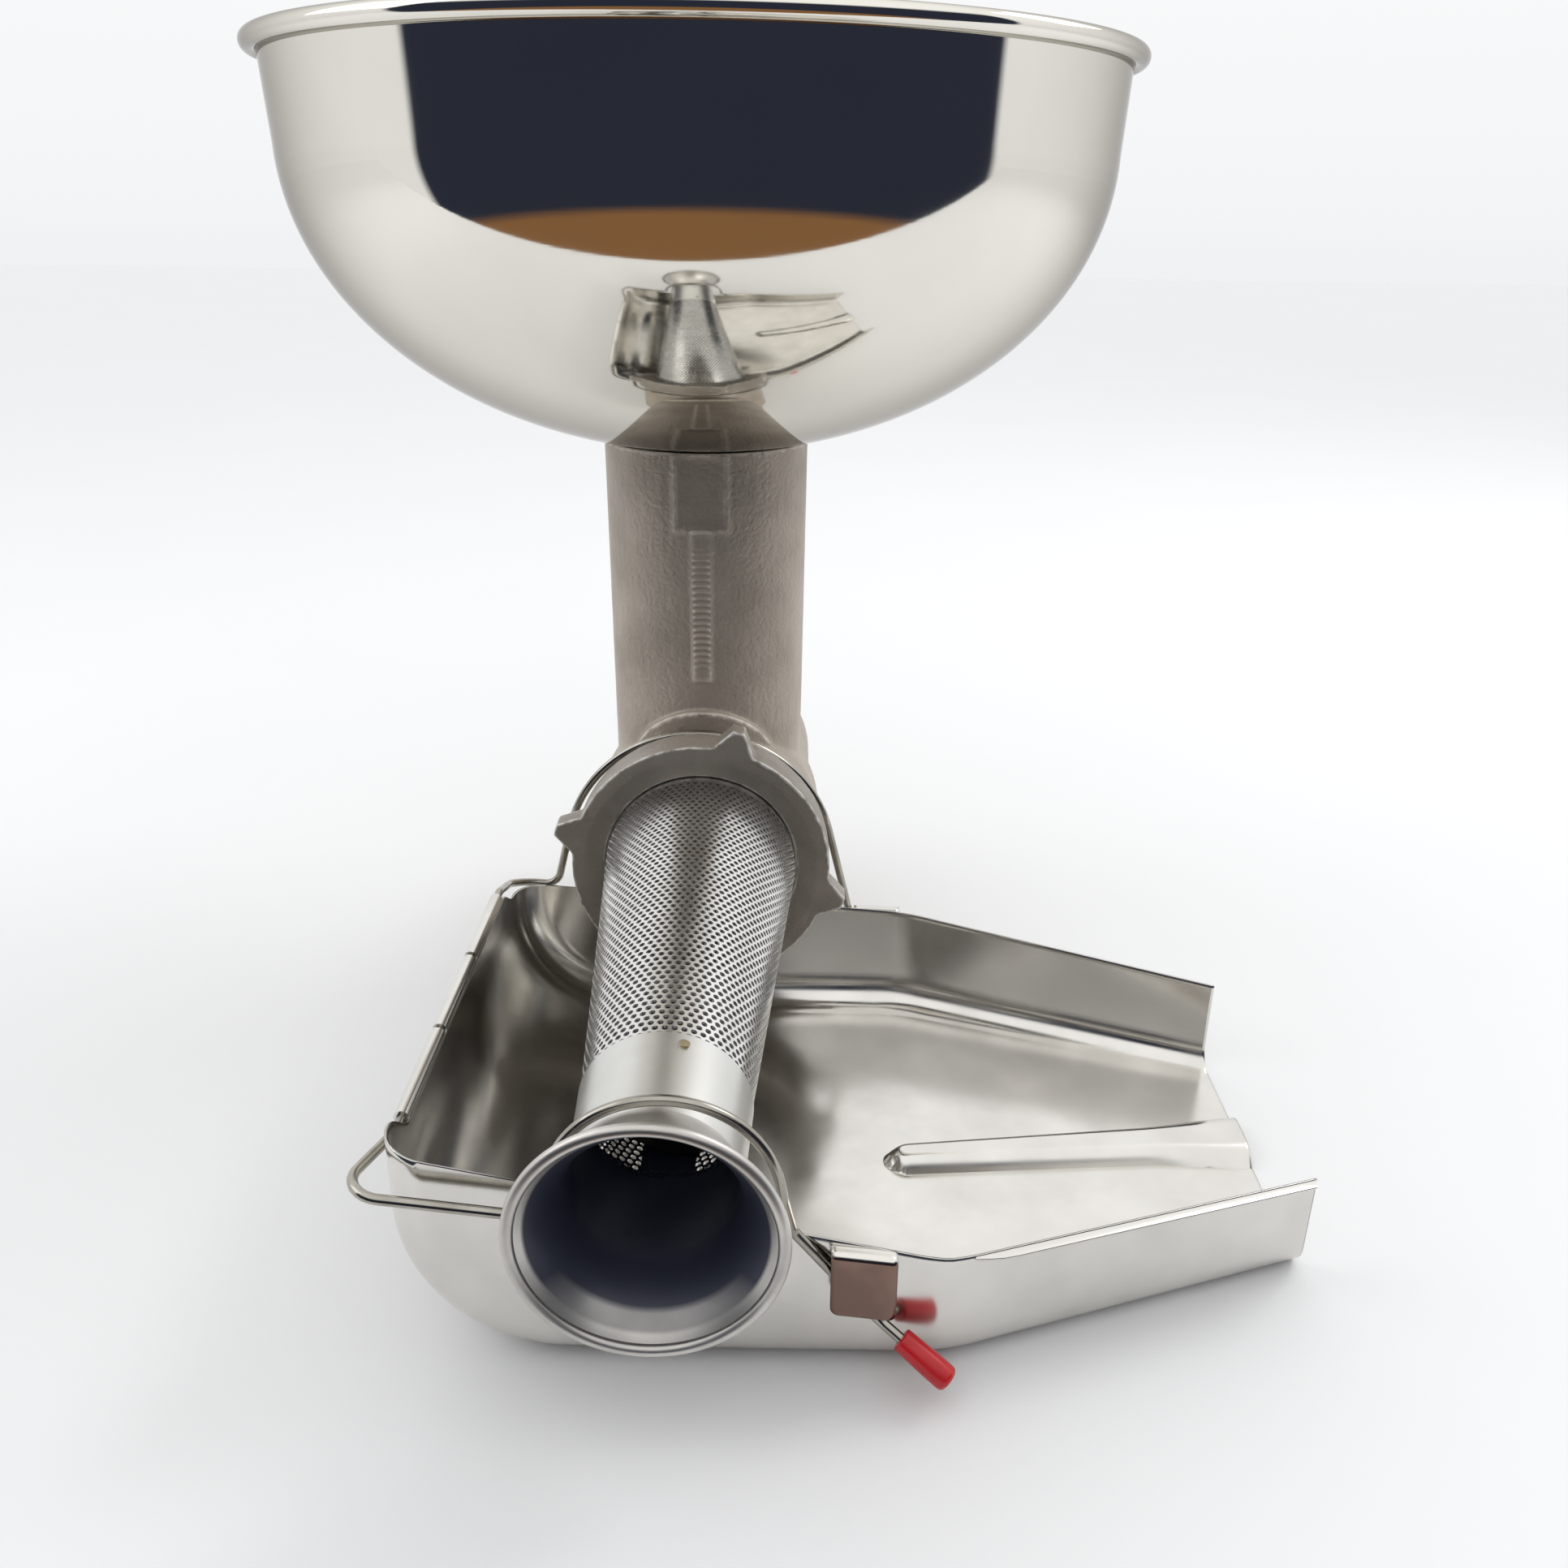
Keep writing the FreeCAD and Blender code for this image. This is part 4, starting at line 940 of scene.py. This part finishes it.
def spout_hem():
    """Narrow flange turned out along the front rim of the spout."""
    length = TRAY_END_X - HEM_START_X
    stations = [HEM_START_X + length * i / HEM_STEPS for i in range(HEM_STEPS + 1)]
    lean = math.hypot(1, SPOUT_SLOPE)

    def place(x, p):
        """Point of the flange at a station, where it grows out of the rim."""
        out = p[0] * soft_step(*HEM_GROWS, x)
        y = TRAY_MID_Y - half_depth(x) - out / lean
        return (x + out * SPOUT_SLOPE / lean, y, rim_line(x, *FRONT_RIM) + p[1])

    points, faces = bar(HEM_PROFILE, stations, place)
    add_piece("spout_hem", points, faces, tray_steel, "head", ["drip_tray"])


curls()
strap("front_strap", TRAY_FRONT_Y, -1, FRONT_TAB_X, FRONT_RIM, strap_steel)
strap("rear_strap", TRAY_REAR_Y, 1, REAR_TAB_X, REAR_RIM, tray_steel)
spout_hem()


# Spring-wire bail
BEND_R = 6.0
CORNER_R = 12.0
FRONT_CORNER_R = 9.0
BEND_STEPS = 10
WIRE_SIDES = 16
RUN_PAST_CURLS = 6.0
REAR_LEFT_KNEE = (-58.64, REAR_WIRE_Y, HINGE_Z - 10.0)
REAR_CORNER_LIFT = 1.5
FRONT_LEFT_KNEE = (-30.71, COLLAR_FRONT_Y, HINGE_Z - 4.1)
FRONT_CORNER_LIFT = 6.6
FRONT_CORNER_OUT = 8.35
REAR_KNEE = (58.35, REAR_WIRE_Y, -28.84)
REAR_END_REACH = 34.0
REAR_END_DROP = 38.0
REAR_END_OUT = 8.0
REAR_STRAIGHT_SHARE = 0.6
FRONT_LEG = (0.88, 0.0, -5.0)
FRONT_KNEE = (35.9, FRONT_WIRE_Y, -18.0)
FRONT_STRAIGHT = (23.6, 0.0, -29.9)
FRONT_TURN_OUT = (18.4, -9.6, -11.3)
REAR_ARCH_STEPS = 48
FRONT_ARCH_STEPS = 40


def rounded(points, radii):
    """Points along straight runs joined by tangent arcs."""
    pts = [Vector(p) for p in points]
    out = [pts[0]]
    for i, r in enumerate(radii, 1):
        back = (pts[i - 1] - pts[i]).normalized()
        ahead = (pts[i + 1] - pts[i]).normalized()
        half = back.angle(ahead) / 2
        cut = r / math.tan(half)
        first = pts[i] + back * cut
        last = pts[i] + ahead * cut
        middle = pts[i] + (back + ahead).normalized() * (r / math.sin(half))
        for k in range(BEND_STEPS + 1):
            spot = first.lerp(last, k / BEND_STEPS) - middle
            out.append(middle + spot.normalized() * r)
    out.append(pts[-1])
    return out


def tube(path, r):
    """Round bar along points, with closed ends."""
    clean = [path[0]]
    for p in path[1:]:
        if (p - clean[-1]).length > 1e-4:
            clean.append(p)
    frames = []
    normal = None
    for i, p in enumerate(clean):
        before = clean[max(0, i - 1)]
        after = clean[min(len(clean) - 1, i + 1)]
        along = (after - before).normalized()
        if normal is None:
            normal = along.orthogonal().normalized()
        normal = (normal - along * normal.dot(along)).normalized()
        frames.append((p, normal, along.cross(normal)))
    angles = [2 * math.pi * k / WIRE_SIDES for k in range(WIRE_SIDES)]

    def place(station, a):
        """Point of the bar's skin."""
        p, across, third = station
        return tuple(p + across * (r * math.cos(a)) + third * (r * math.sin(a)))

    return bar(angles, frames, place)


def foot(arch, side):
    """Point where an arch meets its right leg, on side 1, or its left leg, on side -1."""
    return (arch.x + side * arch.foot_out, arch.y, arch.foot_z)


def arch_path(arch, start, end, count):
    """Points over an arch, angles in degrees."""
    return [Vector((x, arch.y, z)) for x, z in arc((arch.x, arch.z), arch.r, start, end, count)]


def moved(point, step):
    """Point shifted by a step."""
    return tuple(p + s for p, s in zip(point, step))


def rear_end():
    """Route of the rear end, down behind the tray and out under the rear strap."""
    straight = (REAR_STRAIGHT_SHARE * REAR_END_REACH, 0.0, -REAR_STRAIGHT_SHARE * REAR_END_DROP)
    whole = (REAR_END_REACH, REAR_END_OUT, -REAR_END_DROP)
    return [foot(REAR_ARCH, 1), REAR_KNEE, moved(REAR_KNEE, straight), moved(REAR_KNEE, whole)]


def front_end():
    """Route of the front end, down beside the outlet, back to the tray and out under the front strap."""
    top = foot(FRONT_ARCH, 1)
    low = moved(FRONT_KNEE, FRONT_STRAIGHT)
    return [top, moved(top, FRONT_LEG), FRONT_KNEE, low, moved(low, FRONT_TURN_OUT)]


def bail():
    """Bail as one wire: rear end, rear arch, left run in the curls, front arch, front end."""
    run = CURL_HALF + RUN_PAST_CURLS
    left_run = [
        foot(REAR_ARCH, -1),
        REAR_LEFT_KNEE,
        (HINGE_X, REAR_WIRE_Y, REAR_LEFT_KNEE[2] + REAR_CORNER_LIFT),
        (HINGE_X, TRAY_MID_Y + run, HINGE_Z),
        (HINGE_X, TRAY_MID_Y - run, HINGE_Z),
        (HINGE_X - FRONT_CORNER_OUT, COLLAR_FRONT_Y, FRONT_LEFT_KNEE[2] + FRONT_CORNER_LIFT),
        FRONT_LEFT_KNEE,
        foot(FRONT_ARCH, -1),
    ]
    path = rounded(rear_end(), [BEND_R, CORNER_R])[::-1]
    path += arch_path(REAR_ARCH, REAR_ARCH.lean, 180 - REAR_ARCH.lean, REAR_ARCH_STEPS)
    path += rounded(left_run, [BEND_R, CORNER_R, CORNER_R, CORNER_R, FRONT_CORNER_R, BEND_R])
    path += arch_path(FRONT_ARCH, 180 - FRONT_ARCH.lean, FRONT_ARCH.lean, FRONT_ARCH_STEPS)
    path += rounded(front_end(), [BEND_R, BEND_R, CORNER_R])
    points, faces = tube(path, WIRE_R)
    add_piece("bail", points, faces, wire_steel, "bail",
              ["bail_wire", "front_bail_end", "rear_bail_end"])


bail()


# Plastic tips
GRIP_OVER_WIRE = 15.0
GRIP_SIDES = 24
GRIP_FLATS = 6
GRIP_FLAT_SHARE = 0.035
GRIP_FLAT_FROM_R = 2.0

# Radius and distance from the mouth along a tip: bore, soft mouth, slow swell and blunt nose
GRIP_PROFILE = [(1.52, 0.0), (1.7, 0.0), (3.0, 0.05), (3.35, 0.4), (3.55, 6.0), (3.68, 12.0),
                (3.68, 15.3), (3.5, 16.1), (2.9, 16.7), (1.8, 17.0), (0.01, 17.0)]


def grip(name, route, node):
    """Plastic sleeve on a wire end, slightly flattened, with a blunt nose."""
    end = Vector(route[-1])
    along = (end - Vector(route[-2])).normalized()
    normal = along.orthogonal().normalized()
    third = along.cross(normal)
    start = end - along * GRIP_OVER_WIRE
    points = []
    for k in range(GRIP_SIDES):
        a = 2 * math.pi * k / GRIP_SIDES
        out = normal * math.cos(a) + third * math.sin(a)
        facet = 1.0 - GRIP_FLAT_SHARE * (1 - math.cos(GRIP_FLATS * a)) / 2
        for r, h in GRIP_PROFILE:
            points.append(tuple(start + along * h + out * (r * facet if r > GRIP_FLAT_FROM_R else r)))
    size = len(GRIP_PROFILE)
    faces = grid_faces(GRIP_SIDES, size, True, False)
    faces.append(tuple(k * size + size - 1 for k in range(GRIP_SIDES)))
    add_piece(name, points, faces, red_plastic, "bail", [node])


grip("front_grip", front_end(), "front_grip_tip")
grip("rear_grip", rear_end(), "rear_grip_tip")


# Cast pieces: copies of the solids with softened edges
PAD_BORDER_OUT = 0.6
PAD_BORDER_WIDTH = 0.9
PAD_BORDER_RISE = 0.45
PAD_FACE_Y = NECK_Y - 30.0
PAD_REACH = (PAD_TOP_Z - PAD_HEIGHT - 4.0, NECK_TOP_Z - 1.0)


def point_values(mesh, name):
    """Places or normals of a mesh's points, row by row."""
    values = np.zeros(len(mesh.vertices) * 3)
    mesh.vertices.foreach_get(name, values)
    return values.reshape(-1, 3)


def mark_bulges(mesh):
    """Point value that is high on outer edges: how far a point stands out from its neighbours, in mm."""
    places = point_values(mesh, "co") / MM
    ends = np.zeros(len(mesh.edges) * 2, dtype=int)
    mesh.edges.foreach_get("vertices", ends)
    ends = ends.reshape(-1, 2)

    def around(values):
        """Mean of the neighbours of each point."""
        total = np.zeros_like(values)
        np.add.at(total, ends[:, 0], values[ends[:, 1]])
        np.add.at(total, ends[:, 1], values[ends[:, 0]])
        share = np.bincount(ends.ravel(), minlength=len(places))
        return total / share.reshape([-1] + [1] * (values.ndim - 1))

    out = np.sum((places - around(places)) * point_values(mesh, "normal"), axis=1)
    for _ in range(2):
        out = (out + around(out)) / 2
    layer = mesh.attributes.new("bulge", "FLOAT", "POINT")
    layer.data.foreach_set("value", out.astype(np.float32))


def softened(name, node, material, body, voxel, passes, shape=None):
    """Copy of a cast solid with rounded edges and any extra relief."""
    work = bpy.data.objects.new(name + "_work", nodes[node].data.copy())
    scene.collection.objects.link(work)
    remesh = work.modifiers.new("remesh", "REMESH")
    remesh.mode = "VOXEL"
    remesh.voxel_size = voxel * MM
    remesh.adaptivity = 0.0
    relax = work.modifiers.new("relax", "SMOOTH")
    relax.factor = 0.5
    relax.iterations = passes
    bpy.context.view_layer.update()
    graph = bpy.context.evaluated_depsgraph_get()
    soft = bpy.data.meshes.new_from_object(work.evaluated_get(graph))
    bpy.data.objects.remove(work)
    if shape:
        places = shape(point_values(soft, "co") / MM)
        soft.vertices.foreach_set("co", (places * MM).ravel())
        soft.update()
    mark_bulges(soft)
    soft.name = name
    add_object(name, soft, material, body, [node], 180)


def pad_relief(places):
    """Raised border round the pad on the neck."""
    x, y, z = places.T
    dx = np.abs(x) - PAD_HALF
    dz = np.abs(z - (PAD_TOP_Z - PAD_HEIGHT / 2)) - PAD_HEIGHT / 2
    outside = np.hypot(np.maximum(dx, 0), np.maximum(dz, 0))
    edge = np.where((dx > 0) | (dz > 0), outside, -np.maximum(dx, dz))
    border = PAD_BORDER_RISE * np.exp(-((edge - PAD_BORDER_OUT) / PAD_BORDER_WIDTH) ** 2)
    on_front = (y < PAD_FACE_Y) & (z > PAD_REACH[0]) & (z < PAD_REACH[1])
    return np.stack([x, y - np.where(on_front, border, 0.0), z], axis=1)


softened("cast_body", "body_casting", casting_tin, "head", voxel=0.75, passes=3, shape=pad_relief)
softened("cast_ring", "ring_nut", nut_tin, "nut", voxel=0.55, passes=8)


# Floor, light and camera, in metres
FLOOR_BELOW_TRAY = 0.2 * MM
FLOOR_SIDE = 4.0
FLOOR_FRONT = -0.44
FLOOR_REAR = 6.0
FLOOR_TONES = ((0.86, 0.865, 0.875), (0.88, 0.885, 0.89))
FLOOR_ROUGHNESS = 0.6

# Surround by direction: pale walls and backdrop, with a dark opening over a brown table in front
WALL_TONES = ((0.76, 0.765, 0.775), (0.97, 0.97, 0.97))
WALL_RISE = (-0.1, 0.7)
BACKDROP_TONE = (0.765, 0.77, 0.78)
BACKDROP_EDGE = (-0.03, -0.005)
OPENING_TONE = (0.022, 0.026, 0.042)
OPENING_SIDE = (-0.235, -0.195)
OPENING_SKEW = 0.085
OPENING_TOP = (0.45, 0.6)
TABLE_TONE = (0.22, 0.11, 0.045)
TABLE_EDGE = (-0.50, -0.44)
SURROUND_LIGHT = 1.15

# Camera in millimetres, degrees and pixels
CAMERA_PLACE = (33.33, -589.23, 234.22)
CAMERA_PITCH = 23.17
CAMERA_HEADING = -0.23
CAMERA_ROLL = 0.75
FOCAL_PIXELS = 1675.0
PICTURE_PIXELS = 1932.0
SENSOR_WIDTH = 36.0


def add_floor():
    """Pale floor just under the tray."""
    material, tree, shader = new_material("floor")
    tone = blend(tree, noise(tree, scale=6.0, detail=2.0), *FLOOR_TONES)
    tree.links.new(tone, shader.inputs["Base Color"])
    shader.inputs["Roughness"].default_value = FLOOR_ROUGHNESS
    z = TRAY_FLOOR_Z * MM - FLOOR_BELOW_TRAY
    corners = [(-FLOOR_SIDE, FLOOR_FRONT, z), (FLOOR_SIDE, FLOOR_FRONT, z),
               (FLOOR_SIDE, FLOOR_REAR, z), (-FLOOR_SIDE, FLOOR_REAR, z)]
    mesh = bpy.data.meshes.new("floor")
    mesh.from_pydata(corners, [], [(0, 1, 2, 3)])
    mesh.materials.append(material)
    floor = bpy.data.objects.new("floor", mesh)
    scene.collection.objects.link(floor)


def add_surround():
    """Bright surround whose dark opening shows in reflections and not to the camera itself."""
    world = bpy.data.worlds.new("studio")
    scene.world = world
    world.use_nodes = True
    tree = world.node_tree
    way = split(tree, "Generated")
    skew = combine(tree, "SUBTRACT", way["Y"], product(tree, way["X"], OPENING_SKEW))
    path = tree.nodes.new("ShaderNodeLightPath")
    opening = product(
        tree,
        spread(tree, skew, *OPENING_SIDE, 1.0, 0.0),
        spread(tree, way["Z"], *OPENING_TOP, 1.0, 0.0),
        combine(tree, "SUBTRACT", 1.0, path.outputs["Is Camera Ray"]),
    )
    walls = blend(tree, spread(tree, way["Z"], *WALL_RISE), *WALL_TONES)
    pale = blend(tree, spread(tree, way["Z"], *BACKDROP_EDGE, 1.0, 0.0), walls, BACKDROP_TONE)
    beyond = blend(tree, spread(tree, way["Z"], *TABLE_EDGE, 1.0, 0.0), OPENING_TONE, TABLE_TONE)
    background = tree.nodes["Background"]
    tree.links.new(blend(tree, opening, pale, beyond), background.inputs["Color"])
    background.inputs["Strength"].default_value = SURROUND_LIGHT


def softbox(name, place, target, size, power):
    """Square soft light."""
    data = bpy.data.lights.new(name, "AREA")
    data.shape = "SQUARE"
    data.size = size
    data.energy = power
    lamp = bpy.data.objects.new(name, data)
    lamp.location = place
    lamp.rotation_euler = (Vector(target) - Vector(place)).to_track_quat("-Z", "Y").to_euler()
    scene.collection.objects.link(lamp)


def add_camera():
    """Camera at the photograph's place, from its pitch, heading and roll."""
    pitch = math.radians(CAMERA_PITCH)
    heading = math.radians(CAMERA_HEADING)
    roll = math.radians(CAMERA_ROLL)
    level = Vector((math.sin(heading), math.cos(heading), 0))
    right = Vector((math.cos(heading), -math.sin(heading), 0))
    ahead = level * math.cos(pitch) - Vector((0, 0, math.sin(pitch)))
    up = level * math.sin(pitch) + Vector((0, 0, math.cos(pitch)))
    turned_right = right * math.cos(roll) + up * math.sin(roll)
    turned_up = up * math.cos(roll) - right * math.sin(roll)
    data = bpy.data.cameras.new("camera")
    data.sensor_width = SENSOR_WIDTH
    data.sensor_fit = "HORIZONTAL"
    data.lens = SENSOR_WIDTH * FOCAL_PIXELS / PICTURE_PIXELS
    data.clip_start = 0.01
    camera = bpy.data.objects.new("camera", data)
    turn_to = Matrix((turned_right, turned_up, -ahead)).transposed().to_4x4()
    camera.matrix_world = Matrix.Translation(Vector(CAMERA_PLACE) * MM) @ turn_to
    scene.collection.objects.link(camera)
    scene.camera = camera


add_floor()
add_surround()
softbox("key", place=(1.15, 0.45, 1.20), target=(0, -0.2, 0.0), size=0.6, power=5.5)
softbox("fill", place=(-1.2, -0.25, 0.9), target=(0, -0.2, 0.05), size=0.8, power=2.0)
add_camera()
scene.view_settings.view_transform = "Standard"

bpy.context.view_layer.update()
